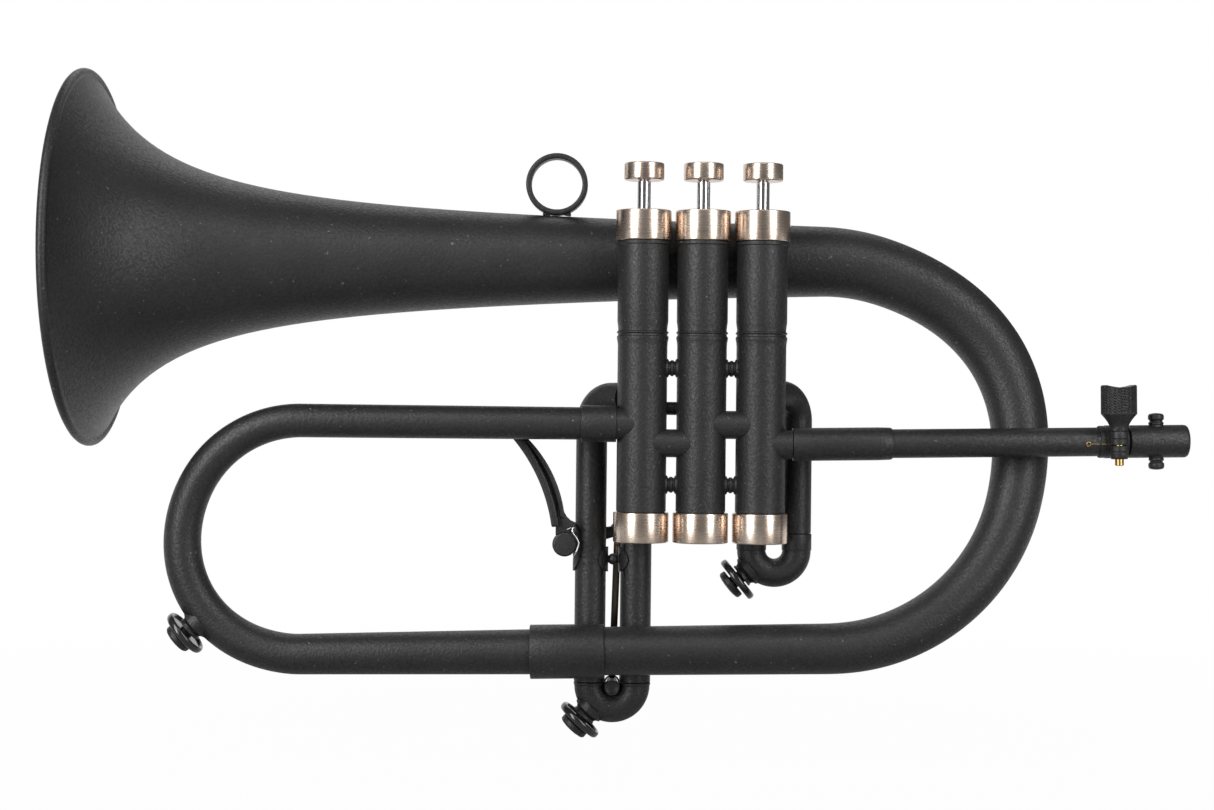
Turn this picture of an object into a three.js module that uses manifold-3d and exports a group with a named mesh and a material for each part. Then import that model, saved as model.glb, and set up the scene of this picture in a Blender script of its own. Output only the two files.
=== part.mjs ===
// A three-valve flugelhorn in B flat, in millimetres.
// +Z runs up along the valves, +X points to the player and the bell opens towards -X.
// The origin is the centre of the flat underside of the middle valve's bottom cap.
import * as THREE from "three";
import { mergeVertices } from "three/addons/utils/BufferGeometryUtils.js";
import Module from "manifold-3d";

const wasm = await Module();
wasm.setup();

// Fits and sheet metal
const seam = 0.3; // between pieces that are brazed, screwed or seated together
const running = 0.25; // radial play of a piece that slides or turns in another
const tubeWall = 0.8;
const weld = 0.001; // vertices closer than this are one
const overrun = 1; // how far a cutter reaches past what it cuts

// Valves, numbered from the player's end
const valvePitch = 23.3;
const valveHeight = 130; // from the bottom cap's underside to the top cap's upper face
const valveBore = 8.6; // radius
const lowerCasingRadius = 9.75;
const upperCasingRadius = 10;
const casingNeckRadius = 9.35; // the threaded ends under the caps
const casingJointHeight = 81.2; // where lower and upper casing meet, between two beads
const beadSpacing = 2.4;
const beadWidth = 1.6;
const beadRise = 0.4;
const casingCollarRadius = 10.35;
const casingCollarHeight = 1.2;
const capRadius = 10.9;
const capBevel = 0.5;
const bottomCapHeight = 11.8;
const bottomCapFloor = 2;
const topCapHeight = 11.9;
const topCapLid = 3.5;
const portRadius = 4.4;
const portDepth = 4; // of the ports that only a pressed piston brings into line
const stroke = 10.6;
const pistonBottom = 25;
const pistonTop = 85;
const springSeatRadius = 7.1;
const springSeatDepth = 3;
const stemRadius = 2.6;
const stemScrewRadius = 1.7;
const stemScrewLength = 3.2;
const buttonRadius = 7.85;
const buttonHeight = 6.7;
const buttonLift = 11.9; // from the top cap to the button at rest
const buttonBevel = 0.8;
const buttonDishRadius = 6.6;
const buttonDishDepth = 0.5;
const springRadius = 6.1; // to the middle of the wire
const springWire = 1.1; // diameter
const springTurns = 5;

// Tubes between the valves
const portOffset = -2.8; // the windway ports lie a little in front of the valve axes
const highPort = 46.3;
const lowPort = 38.9;
const crossoverRadius = 5.6;
const knuckleReach = 3.6; // how near to a valve axis the round end of a knuckle comes
const stayHeights = [22.6, 68.3];
const stayFlange = 3.7; // radius
const stayNeck = 2.9;
const stayFlangeWidth = 1.3;
const stayRing = 3.2;
const stayRingWidth = 0.8;
const rearStayHeight = 52.5;
const rearStayOffset = 5;
const rearStayRadius = 2.6;

// Bell: its flare falls off with the square of the distance from the rim
const bellRimRadius = 76.2;
const bellRimX = -249.1;
const bellRimDrop = 1.6; // how much lower the rim's centre lies than the joint with the bow
const bellThroat = 12.33;
const bellTaper = 0.0195; // growth of the radius per millimetre of length
const bellFlareReach = 59;
const bellFlareStart = 1.8; // from the rim to where the curve is measured from
const bellAxisLength = 297.5; // the length over which the taper was measured
const bellBeadRadius = 2;
const bellRings = 10;
const ringFromRim = 191.1;
const fingerRingRadius = 12.5;
const fingerRingThickness = 2.2;
const fingerRingWidth = 8;
const ringFootLength = 11.4;
const ringFootWidth = 6;

// Main bow, from the bell round to the bottom of the horn
const bowAxisY = 27.8;
const bowTopDrop = 17.4; // from the top caps' upper faces down to the bow's upper run
const bowCentreX = 49.2;
const bowBottomY = 0.3;
const bowBottomZ = -41.2;
const bowRadii = [15.5, 14.2, 11, 9.9, 9.4]; // start, first bend end, halfway, last bend end, end
const bowSwell = { rise: 2.6, place: 0.34, reach: 0.24 }; // out of a round bend; the last two are shares
const bellFerruleLength = 18;
const bellFerruleWall = 0.8;
const bellSaddleWidth = 12;
const bowFerruleFrom = -66.2;
const bowFerruleTo = -37.2;
const bowFerruleRadius = 10.6;
const ferruleBevel = 0.4;

// Branch loop, from the bottom of the horn back up to the third valve
const loopCentreX = -156.3;
const loopBottomZ = -45.4;
const loopRadii = [6.35, 6.6, 7.25, 7.95, 8.95];
const loopSwell = { rise: 1.4, place: 0.68, reach: 0.32 };
const outletFerruleFrom = -47;
const outletFerruleTo = -33;
const outletFerruleRadius = 7.2;
const outletKnuckleRadius = 6.6;
const outletSpigotRadius = 6.2;
const outletSpigotEnd = -39.7;

// Lead pipe with its slit and clamp, and the sliding mouthpiece receiver
const inletEnd = 35.4;
const inletRadius = 5.65;
const leadSlope = 0.0192; // rise per millimetre towards the player
const leadRadius = 5.65;
const leadWall = 0.6;
const leadLength = 130.6; // from the inlet knuckle
const leadFerruleLength = 38.8;
const leadFerruleRadius = 6.45;
const slitLength = 16.1;
const slitWidth = 0.8;
const slitDrop = 1.2; // of the slit and the lugs, below the pipe's axis
const slitHoleRadius = 1.1;
const clampWidth = 11;
const clampEndGap = 0.2; // from the collar to the pipe's end
const clampRadius = 6.45;
const clampFromEnd = 4.9; // from the pipe's end to the middle of the clamp screw
const lugRadius = 3.5;
const lugHeight = 10.8;
const lugOffset = 8.1;
const lugSlit = 1;
const clampScrewRadius = 1.7;
const clampScrewTip = 2.6; // how far the screw shows below the lower lug
const thumbNeckRadius = 3.5;
const thumbNeckHeight = 1.3;
const thumbFlareHeight = 5.1;
const thumbHeadRadius = 6.86;
const thumbHeadHeight = 11.2;
const thumbBevel = 1.1;
const thumbScoopWidth = 10.8; // of the hollow across the top
const thumbScoopDepth = 1;
const thumbRibs = 12;
const thumbRibDepth = 0.6;
const receiverLength = 23.2;
const receiverRadius = 6.4;
const receiverBevel = 0.8;
const receiverInsert = 34;
const receiverLegWall = 0.6;
const mouthRadius = 4.9;
const mouthDepth = 16;
const pullKnobFromMouth = 12;
const pullKnobRadius = 3.1;
const pullKnobHeight = 11.1; // from the pipe's axis
const pullKnobShares = [[1, 0.72], [0.8, 0.775], [1, 0.815], [1, 0.905], [0.8, 1]]; // of radius and height

// Valve slides: [sleeve radius, crook radius]
const slideWall = 0.6;
const crookFerruleRise = 0.25;
const slideSideY = 17.8; // the first and third slides hang behind the valves
const elbowRise = 7.4; // bend of the short elbows behind the casings
const lowSlidePort = 30;
const firstLegs = [21.4, 39.5];
const firstSleeveRadius = 5.7;
const firstSleeveEnd = 3.2;
const firstCrookZ = -3.9;
const firstPort = 58.2;
const firstElbow = 10.5;
const firstInsert = 26;
const thirdLegs = [-43, -24.8];
const thirdSleeveRadius = 6.2;
const thirdCrookRadius = 6;
const thirdSleeveEnd = -56.9;
const thirdCrookZ = -58.4;
const thirdPort = 56.3;
const thirdElbow = 10.5;
const thirdInsert = 30;
const secondPorts = [35.6, 55.4];
const secondSleeveEnd = 30;
const secondCrookY = 36.5;
const secondInsert = 14;
const ballStayZ = -8.1;
const ballStayRadius = 2.3;
const ballStayRod = 1.3;
const ballSaddleHeight = 10;
const ballSaddleReach = 4.6; // half its width
const saddleThickness = 0.8;

// Water keys: a fixed boss and cap with a sliding ring between them
const keyBossRadius = 4.9;
const keyBossWaist = 4.5;
const keyBossHeight = 2.1; // above the tube, as are the next heights
const keyPostRadius = 2.6;
const keyRingMiddle = 4;
const keyRingRadius = 9.5;
const keyRingWidth = 2.9;
const keyRingThickness = 1.7;
const keyWebThickness = 1;
const keyCapBottom = 6;
const keyCapTop = 9.3;
const keyCapRadius = 5.9;
const keyCapBevel = 1.2;
const keyAngles = { loop: 40, first: 39, third: 48 }; // degrees below the line towards the bell

// Third-slide trigger
const pivotX = -53.3;
const pivotZ = -1.8;
const hubRadius = 4.95;
const hubFrontY = 8;
const hubBackY = 12;
const barrelRadius = 3.9;
const barrelBackY = 24.4;
const shaftRadius = 1.9;
const crankThickness = 2;
const crankLength = 21.7;
const crankPinRadius = 1.2;
const crankPinLength = 3.6;
const triggerTurn = 25; // degrees
const paddleCentre = [-72.4, -2.5]; // of the arc that the thumb plate follows, from the pivot
const paddleRadius = 68.2;
const paddleThickness = 2.3;
const paddleSpan = [6, 46]; // degrees above the line towards the player
const paddleFrontY = 4.9;
const paddleBackY = 11.3;
const ribCentre = [-51.9, 4.9]; // of the arc on the rib's far side, from the pivot
const ribRadius = 52.2;
const ribRoot = 12; // degrees, where the rib leaves the thumb plate
const ribFrontY = 6.7;
const ribBackY = 9.7;
const bracketBottom = -12.9;
const bracketTop = 6.5;
const bracketReach = 5.5; // half the width of the lens-shaped saddle
const torsionRadius = 3.7;
const torsionWire = 0.8;
const torsionPitch = 1.25;
const torsionTurns = 2;
const torsionLeg = 2.5;
const torsionLegSteps = 2;
const barrelNeckRadius = 2.9; // under the spring
const rodThickness = 1.4;
const rodWidth = 2.8;
const rodEyeRadius = 3.3;
const rodEyePlay = 0.8;
const bossZ = -59.1;
const bossKnobRadius = 3.05;
const bossKnobLength = 6.4;
const bossFrontY = 12.4;
const bossShaftRadius = 2.3;

// Facets round each form
const casingSides = 16;
const pistonSides = 12;
const tubeSides = 12;
const smallSides = 10;
const pinSides = 8;
const portSides = 6;
const bellSides = 24;
const beadSides = 8;
const bowSides = 14;
const bowSteps = 12;
const loopSteps = 10;
const elbowSteps = 3;
const crookSteps = 6;

const degrees = Math.PI / 180;
const alongX = new THREE.Vector3(1, 0, 0);
const alongY = new THREE.Vector3(0, 1, 0);
const alongZ = new THREE.Vector3(0, 0, 1);

// Finishes
const finish = (name, color, roughness, metalness) =>
  new THREE.MeshStandardMaterial({ name, color, roughness, metalness });
const blackCoat = finish("black powder coat", 0x242426, 0.62, 0.15);
const blackGloss = finish("gloss black", 0x0c0c0d, 0.2, 0.3);
const bronze = finish("brushed bronze", 0xb4957b, 0.32, 1);
const steel = finish("polished steel", 0xb8babc, 0.22, 1);
const brass = finish("brass", 0xc29a4b, 0.3, 1);
const nickel = finish("nickel silver", 0xa9a69e, 0.28, 1);

// Turns a closed geometry into a solid that can be joined and cut.
function solidOf(geometry) {
  const bare = geometry.clone();
  bare.deleteAttribute("normal");
  bare.deleteAttribute("uv");
  const merged = mergeVertices(bare, weld);
  const corners = merged.index.array;
  const kept = [];
  for (let i = 0; i < corners.length; i += 3) {
    const [a, b, c] = corners.subarray(i, i + 3);
    if (a !== b && b !== c && c !== a) kept.push(a, b, c);
  }
  return new wasm.Manifold(
    new wasm.Mesh({
      numProp: 3,
      vertProperties: new Float32Array(merged.attributes.position.array),
      triVerts: new Uint32Array(kept),
    }),
  );
}

function geometryOf(solid) {
  const mesh = solid.getMesh();
  const geometry = new THREE.BufferGeometry();
  geometry.setAttribute("position", new THREE.BufferAttribute(mesh.vertProperties, 3));
  geometry.setIndex(new THREE.BufferAttribute(mesh.triVerts, 1));
  geometry.computeVertexNormals();
  return geometry;
}

const join = (...shapes) =>
  geometryOf(shapes.map(solidOf).reduce((whole, next) => whole.add(next)));
const cut = (shape, ...tools) =>
  geometryOf(tools.map(solidOf).reduce((whole, tool) => whole.subtract(tool), solidOf(shape)));
const common = (shape, other) => geometryOf(solidOf(shape).intersect(solidOf(other)));

// Turned about Z from an outline of [radius, height] that starts and ends on the axis.
function turned(outline, sides) {
  const points = outline.map(([radius, height]) => new THREE.Vector2(radius, height));
  return new THREE.LatheGeometry(points, sides).rotateX(Math.PI / 2);
}

// A hollow turned piece, whose outline closes on itself.
const turnedRing = (outline, sides) => turned([...outline, outline[0]], sides);
const ontoX = (geometry) => geometry.rotateY(Math.PI / 2);

// A round bar between two heights or, turned onto X, between two places along X.
const bar = (radius, from, to, sides) =>
  turned([[0, from], [radius, from], [radius, to], [0, to]], sides);

// A plate cut from an outline in the XZ plane, between two depths along Y.
function plate(shape, front, back, curveSegments = smallSides) {
  const settings = { depth: back - front, bevelEnabled: false, curveSegments };
  return new THREE.ExtrudeGeometry(shape, settings).rotateX(Math.PI / 2).translate(0, back, 0);
}

// A round bar along Y.
const crossBar = (radius, front, back, sides = smallSides) =>
  bar(radius, -back, -front, sides).rotateX(Math.PI / 2);

// A tube that is laid out like pipework: straights and bends, one after another.
class Pipe {
  constructor(start, heading, side, outer, bore) {
    this.point = start.clone();
    this.heading = heading.clone().normalize();
    this.side = side.clone();
    this.outer = outer;
    this.bore = bore;
    this.stations = [];
    this.mark();
  }

  mark() {
    const { outer, bore } = this;
    const across = new THREE.Vector3().crossVectors(this.heading, this.side);
    this.stations.push({ point: this.point.clone(), side: this.side.clone(), across, outer, bore });
    return this;
  }

  // A shoulder, where the outside changes at once.
  step(outer) {
    this.outer = outer;
    return this.mark();
  }

  straight(length, outer = this.outer, bore = this.bore) {
    this.point.addScaledVector(this.heading, length);
    this.outer = outer;
    this.bore = bore;
    return this.mark();
  }

  // Bends towards a direction; outers and bores are spread evenly over the bend.
  bend(towards, angle, radius, steps, outer = this.outer, bore = this.bore) {
    const axis = new THREE.Vector3().crossVectors(this.heading, towards).normalize();
    const inward = new THREE.Vector3().crossVectors(axis, this.heading);
    const centre = this.point.clone().addScaledVector(inward, radius);
    const turn = new THREE.Quaternion().setFromAxisAngle(axis, angle / steps);
    const [outerStep, boreStep] = [(outer - this.outer) / steps, (bore - this.bore) / steps];
    for (let i = 0; i < steps; i++) {
      this.point.sub(centre).applyQuaternion(turn).add(centre);
      this.heading.applyQuaternion(turn);
      this.side.applyQuaternion(turn);
      this.outer += outerStep;
      this.bore += boreStep;
      this.mark();
    }
    return this;
  }

  // The metal between the outside and the bore.
  shell(sides) {
    return loft(this.stations, sides, "outer", "bore");
  }

  // What fills the bore.
  core(sides) {
    return loft(this.stations, sides, "bore");
  }
}

// Skins a row of stations with rings; an inner radius makes it hollow.
function loft(stations, sides, outer, inner) {
  const positions = [];
  const index = [];
  const ringOf = (key) => {
    const first = positions.length / 3;
    for (const station of stations) {
      for (let k = 0; k < sides; k++) {
        const angle = (2 * Math.PI * k) / sides;
        const place = station.point
          .clone()
          .addScaledVector(station.side, station[key] * Math.cos(angle))
          .addScaledVector(station.across, station[key] * Math.sin(angle));
        positions.push(place.x, place.y, place.z);
      }
    }
    return (row, k) => first + row * sides + (k % sides);
  };
  const quad = (a, b, c, d) => index.push(a, b, c, a, c, d);
  const last = stations.length - 1;
  const out = ringOf(outer);
  const into = inner && ringOf(inner);
  for (let row = 0; row < last; row++) {
    for (let k = 0; k < sides; k++) {
      quad(out(row, k), out(row, k + 1), out(row + 1, k + 1), out(row + 1, k));
      if (inner) quad(into(row, k), into(row + 1, k), into(row + 1, k + 1), into(row, k + 1));
    }
  }
  for (let k = 0; k < sides; k++) {
    if (inner) {
      quad(out(0, k), into(0, k), into(0, k + 1), out(0, k + 1));
      quad(out(last, k), out(last, k + 1), into(last, k + 1), into(last, k));
    } else if (k > 0 && k < sides - 1) {
      index.push(out(0, 0), out(0, k + 1), out(0, k));
      index.push(out(last, 0), out(last, k), out(last, k + 1));
    }
  }
  const geometry = new THREE.BufferGeometry();
  geometry.setAttribute("position", new THREE.Float32BufferAttribute(positions, 3));
  geometry.setIndex(index);
  return geometry;
}

// A round wire along a curve, as one unbroken tube.
function wireAlong(curve, diameter, steps, sides = 5) {
  const section = new THREE.Shape();
  for (let k = 0; k < sides; k++) {
    const angle = (2 * Math.PI * k) / sides;
    section[k ? "lineTo" : "moveTo"](
      (diameter / 2) * Math.cos(angle),
      (diameter / 2) * Math.sin(angle),
    );
  }
  section.closePath();
  const settings = { steps, extrudePath: curve, bevelEnabled: false };
  return new THREE.ExtrudeGeometry(section, settings);
}

// The least gap between a wire's own turns, measured on points along it.
function leastGap(curve, diameter, steps, turnSteps) {
  const points = Array.from({ length: steps + 1 }, (_, i) => curve.getPoint(i / steps));
  let least = Infinity;
  points.forEach((p, i) => {
    for (let j = i + Math.round(turnSteps / 2); j < points.length; j++) {
      least = Math.min(least, p.distanceTo(points[j]) - diameter);
    }
  });
  return least;
}

const horn = new THREE.Group();
horn.name = "flugelhorn";

function add(parent, name, geometry, material) {
  const mesh = new THREE.Mesh(geometry, material);
  mesh.name = name;
  parent.add(mesh);
  return mesh;
}

function groupAt(parent, x, y, z) {
  const group = new THREE.Group();
  group.position.set(x, y, z);
  parent.add(group);
  return group;
}

// Valves. Each is built round its own axis; ports are given from that axis.
const topCapBottom = valveHeight - topCapHeight;
const casingBottom = bottomCapFloor + seam;
const casingTop = valveHeight - topCapLid - seam;
const pistonRadius = valveBore - running;
const buttonBottom = valveHeight + buttonLift;
const buttonTop = buttonBottom + buttonHeight;
const valveX = { 1: valvePitch, 2: 0, 3: -valvePitch };
const inletPort = lowPort;
const outletPort = highPort;

// The windway ports to the right and left of each valve.
const windway = {
  1: { right: inletPort, left: highPort },
  2: { right: highPort, left: lowPort },
  3: { right: lowPort, left: outletPort },
};

// The slide ports: how high, and towards which point of the plan they leave the valve.
const slidePorts = {
  1: [
    { height: firstPort, x: firstLegs[1], y: slideSideY },
    { height: lowSlidePort, x: firstLegs[0], y: slideSideY },
  ],
  2: secondPorts.map((height) => ({ height, x: 0, y: slideSideY })),
  3: [
    { height: thirdPort, x: thirdLegs[0], y: slideSideY },
    { height: lowSlidePort, x: thirdLegs[1], y: slideSideY },
  ],
};

// The direction in plan from a valve's axis to a slide port.
const portAngle = (valve, port) => Math.atan2(port.y, port.x - valveX[valve]);

// A drill that runs from one distance to another along a port's direction.
function portDrill(radius, from, to, angle, height, offset = 0) {
  return ontoX(bar(radius, from, to, portSides))
    .rotateZ(angle)
    .translate(0, offset, height);
}

function casingOutline() {
  const bead = (height, radius) => [
    [radius, height - beadWidth / 2],
    [radius + beadRise, height],
  ];
  return [
    [0, casingBottom],
    [casingNeckRadius, casingBottom],
    [casingNeckRadius, bottomCapHeight + seam],
    [lowerCasingRadius, bottomCapHeight + seam],
    ...bead(casingJointHeight - beadSpacing / 2, lowerCasingRadius),
    [lowerCasingRadius, casingJointHeight],
    ...bead(casingJointHeight + beadSpacing / 2, lowerCasingRadius),
    [upperCasingRadius, casingJointHeight + beadSpacing / 2 + beadWidth / 2],
    [upperCasingRadius, topCapBottom - seam - casingCollarHeight],
    [casingCollarRadius, topCapBottom - seam - casingCollarHeight],
    [casingCollarRadius, topCapBottom - seam],
    [casingNeckRadius, topCapBottom - seam],
    [casingNeckRadius, casingTop],
    [0, casingTop],
  ];
}

// A tube stub along X with a round end towards the valve axis.
function knuckle(radius, roundEnd, spigotEnd, spigotRadius = radius) {
  const away = Math.sign(spigotEnd - roundEnd);
  const domeSteps = 3;
  const outline = [[0, 0]];
  for (let i = 1; i <= domeSteps; i++) {
    const angle = (i / domeSteps) * 90 * degrees;
    outline.push([radius * Math.sin(angle), radius * (1 - Math.cos(angle))]);
  }
  if (spigotRadius !== radius) outline.push([spigotRadius, radius]);
  outline.push([spigotRadius, Math.abs(spigotEnd - roundEnd)], [0, Math.abs(spigotEnd - roundEnd)]);
  const shape = ontoX(turned(outline, tubeSides));
  return (away < 0 ? shape.rotateZ(Math.PI) : shape).translate(roundEnd, 0, 0);
}

function casing(valve) {
  const outside = [turned(casingOutline(), casingSides)];
  const { right, left } = windway[valve];
  if (valve === 1) {
    const end = inletEnd - valveX[1];
    outside.push(knuckle(inletRadius, knuckleReach, end).translate(0, portOffset, right));
  }
  if (valve === 3) {
    const round = outletFerruleTo + outletKnuckleRadius - valveX[3];
    const end = outletSpigotEnd - valveX[3];
    const stub = knuckle(outletKnuckleRadius, round, end, outletSpigotRadius);
    outside.push(stub.translate(0, portOffset, left));
  }
  const reach = 2 * lowerCasingRadius;
  const drills = [
    portDrill(portRadius, 0, reach, 0, right, portOffset),
    portDrill(portRadius, 0, reach, Math.PI, left, portOffset),
    ...slidePorts[valve].map((port) =>
      portDrill(portRadius, 0, reach, portAngle(valve, port), port.height)),
  ];
  const bore = bar(valveBore, casingBottom - overrun, casingTop + overrun, pistonSides);
  return cut(join(...outside), bore, ...drills);
}

function topCap() {
  return turnedRing(
    [
      [casingNeckRadius + seam, topCapBottom],
      [capRadius - capBevel, topCapBottom],
      [capRadius, topCapBottom + capBevel],
      [capRadius, valveHeight - capBevel],
      [capRadius - capBevel, valveHeight],
      [stemRadius + running, valveHeight],
      [stemRadius + running, valveHeight - topCapLid],
      [casingNeckRadius + seam, valveHeight - topCapLid],
    ],
    casingSides,
  );
}

function bottomCap() {
  return turned(
    [
      [0, 0],
      [capRadius - capBevel, 0],
      [capRadius, capBevel],
      [capRadius, bottomCapHeight - capBevel],
      [capRadius - capBevel, bottomCapHeight],
      [casingNeckRadius + seam, bottomCapHeight],
      [casingNeckRadius + seam, bottomCapFloor],
      [0, bottomCapFloor],
    ],
    casingSides,
  );
}

// The piston has one passage through it for the open horn. The ports above and behind
// that passage come into line when it is pressed.
function piston(valve) {
  const screwFloor = pistonTop - stemScrewLength - seam;
  const body = turned(
    [
      [0, pistonBottom + springSeatDepth],
      [springSeatRadius, pistonBottom + springSeatDepth],
      [springSeatRadius, pistonBottom],
      [pistonRadius, pistonBottom],
      [pistonRadius, pistonTop],
      [stemScrewRadius + seam, pistonTop],
      [stemScrewRadius + seam, screwFloor],
      [0, screwFloor],
    ],
    pistonSides,
  );
  const { right, left } = windway[valve];
  const span = 2 * valveBore;
  const slope = Math.atan2(right - left, span);
  const through = ontoX(bar(portRadius, -span, span, portSides))
    .rotateY(-slope)
    .translate(0, portOffset, (right + left) / 2);
  const floor = valveBore - portDepth;
  const pressed = [
    portDrill(portRadius, floor, span, 0, right + stroke, portOffset),
    portDrill(portRadius, floor, span, Math.PI, left + stroke, portOffset),
    ...slidePorts[valve].map((port) =>
      portDrill(portRadius, floor, span, portAngle(valve, port), port.height + stroke)),
  ];
  return cut(body, through, ...pressed);
}

function stem() {
  const lowEnd = pistonTop - stemScrewLength;
  const highEnd = buttonBottom + stemScrewLength;
  return turned(
    [
      [0, lowEnd],
      [stemScrewRadius, lowEnd],
      [stemScrewRadius, pistonTop + seam],
      [stemRadius, pistonTop + seam],
      [stemRadius, buttonBottom - seam],
      [stemScrewRadius, buttonBottom - seam],
      [stemScrewRadius, highEnd],
      [0, highEnd],
    ],
    pinSides,
  );
}

function button() {
  const screwRoof = buttonBottom + stemScrewLength + seam;
  return turned(
    [
      [0, screwRoof],
      [stemScrewRadius + seam, screwRoof],
      [stemScrewRadius + seam, buttonBottom],
      [buttonRadius - buttonBevel, buttonBottom],
      [buttonRadius, buttonBottom + buttonBevel],
      [buttonRadius, buttonTop - capBevel],
      [buttonRadius - capBevel, buttonTop],
      [buttonDishRadius, buttonTop],
      [buttonDishRadius - buttonDishDepth, buttonTop - buttonDishDepth],
      [0, buttonTop - buttonDishDepth],
    ],
    casingSides,
  );
}

// A coil of even pitch about Z.
class Coil extends THREE.Curve {
  constructor(radius, from, to, turns) {
    super();
    Object.assign(this, { radius, from, to, turns });
  }

  getPoint(share) {
    const angle = 2 * Math.PI * this.turns * share;
    const height = this.from + (this.to - this.from) * share;
    return new THREE.Vector3(this.radius * Math.cos(angle), this.radius * Math.sin(angle), height);
  }
}

const stepsPerTurn = 8;
const valveCoil = new Coil(
  springRadius,
  bottomCapFloor + seam + springWire / 2,
  pistonBottom + springSeatDepth - seam - springWire / 2,
  springTurns,
);
const valveCoilSteps = springTurns * stepsPerTurn;
const valveSpring = wireAlong(valveCoil, springWire, valveCoilSteps);

for (const valve of [1, 2, 3]) {
  const place = groupAt(horn, valveX[valve], 0, 0);
  const name = (piece) => "valve_" + valve + "_" + piece;
  add(place, name("casing"), casing(valve), blackCoat);
  add(place, name("top_cap"), topCap(), bronze);
  add(place, name("bottom_cap"), bottomCap(), bronze);
  add(place, name("piston"), piston(valve), nickel);
  add(place, name("stem"), stem(), steel);
  add(place, name("button"), button(), bronze);
  add(place, name("spring"), valveSpring.clone(), steel);
}

// What keeps another piece clear of a casing.
const casingClearance = (valve) =>
  bar(lowerCasingRadius + seam, casingBottom, casingTop, casingSides).translate(valveX[valve], 0, 0);

// Crossover tubes, from one casing to the next.
function crossover(leftValve, rightValve, height) {
  const from = valveX[leftValve] + knuckleReach;
  const to = valveX[rightValve] - knuckleReach;
  const middle = (from + to) / 2;
  const halves = [knuckle(crossoverRadius, from, middle), knuckle(crossoverRadius, to, middle)];
  const bore = ontoX(bar(portRadius, valveX[leftValve], valveX[rightValve], tubeSides));
  return cut(
    cut(join(...halves), bore).translate(0, portOffset, height),
    casingClearance(leftValve),
    casingClearance(rightValve),
  );
}
add(horn, "crossover_3_2", crossover(3, 2, lowPort), blackCoat);
add(horn, "crossover_2_1", crossover(2, 1, highPort), blackCoat);

// Spools that tie the casings together, and one plain bar behind them.
function casingStay(leftValve, rightValve, height) {
  const [left, right] = [valveX[leftValve], valveX[rightValve]];
  const middle = (left + right) / 2;
  const halfGap = (right - left) / 2 - lowerCasingRadius;
  const neckEnd = halfGap - stayFlangeWidth;
  const outline = [
    [0, left - middle],
    [stayFlange, left - middle],
    [stayFlange, -neckEnd],
    [stayNeck, -neckEnd],
    [stayNeck, -stayRingWidth / 2],
    [stayRing, 0],
    [stayNeck, stayRingWidth / 2],
    [stayNeck, neckEnd],
    [stayFlange, neckEnd],
    [stayFlange, right - middle],
    [0, right - middle],
  ];
  return cut(
    ontoX(turned(outline, pinSides)).translate(middle, 0, height),
    casingClearance(leftValve),
    casingClearance(rightValve),
  );
}
for (const [left, right] of [[3, 2], [2, 1]]) {
  stayHeights.forEach((height, i) => {
    const name = ["lower", "upper"][i] + "_stay_" + left + "_" + right;
    add(horn, name, casingStay(left, right, height), blackCoat);
  });
}
const rearStay = ontoX(bar(rearStayRadius, valveX[3], valveX[2], pinSides));
add(
  horn,
  "rear_stay_3_2",
  cut(
    rearStay.translate(0, rearStayOffset, rearStayHeight),
    casingClearance(3),
    casingClearance(2),
  ),
  blackCoat,
);

// Bell, in a frame whose X axis runs from the rim to the joint with the bow.
const bowTopZ = valveHeight - bowTopDrop;
const bellRimZ = bowTopZ - bellRimDrop;
const bellJointX = -seam / 2;
const bellLength = Math.hypot(bellJointX - bellRimX, bellRimDrop);
const bellTilt = Math.atan2(bellRimDrop, bellJointX - bellRimX);
const bellFlare = bellRimRadius - bellThroat - bellTaper * bellAxisLength;

function bellRadius(fromRim) {
  const along = fromRim - bellFlareStart;
  const fall = bellFlareReach / (bellFlareReach + along);
  return bellThroat + bellTaper * (bellAxisLength - along) + bellFlare * fall * fall;
}

// Distances from the rim, close together where the flare is steep. The first lies in the bead.
const bellPlaces = Array.from({ length: bellRings }, (_, i) => {
  const share = i / (bellRings - 1);
  const first = bellFlareStart + bellBeadRadius / 2;
  return first + (bellLength - first) * share * share;
});

function bell() {
  const outside = bellPlaces.map((x) => [bellRadius(x), x]);
  const inside = outside.map(([radius, x]) => [radius - tubeWall, x]).reverse();
  const wall = turnedRing([...outside, ...inside], bellSides);
  const cornerRadius = bellBeadRadius / Math.cos(Math.PI / beadSides);
  const bead = Array.from({ length: beadSides }, (_, k) => {
    const angle = ((k + 0.5) * 2 * Math.PI) / beadSides;
    return [
      bellRimRadius - bellBeadRadius + cornerRadius * Math.cos(angle),
      bellBeadRadius + cornerRadius * Math.sin(angle),
    ];
  });
  return ontoX(join(wall, turnedRing(bead, bellSides)));
}

const bellGroup = groupAt(horn, bellRimX, bowAxisY, bellRimZ);
bellGroup.rotation.y = -bellTilt;
add(bellGroup, "bell", bell(), blackCoat);

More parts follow.
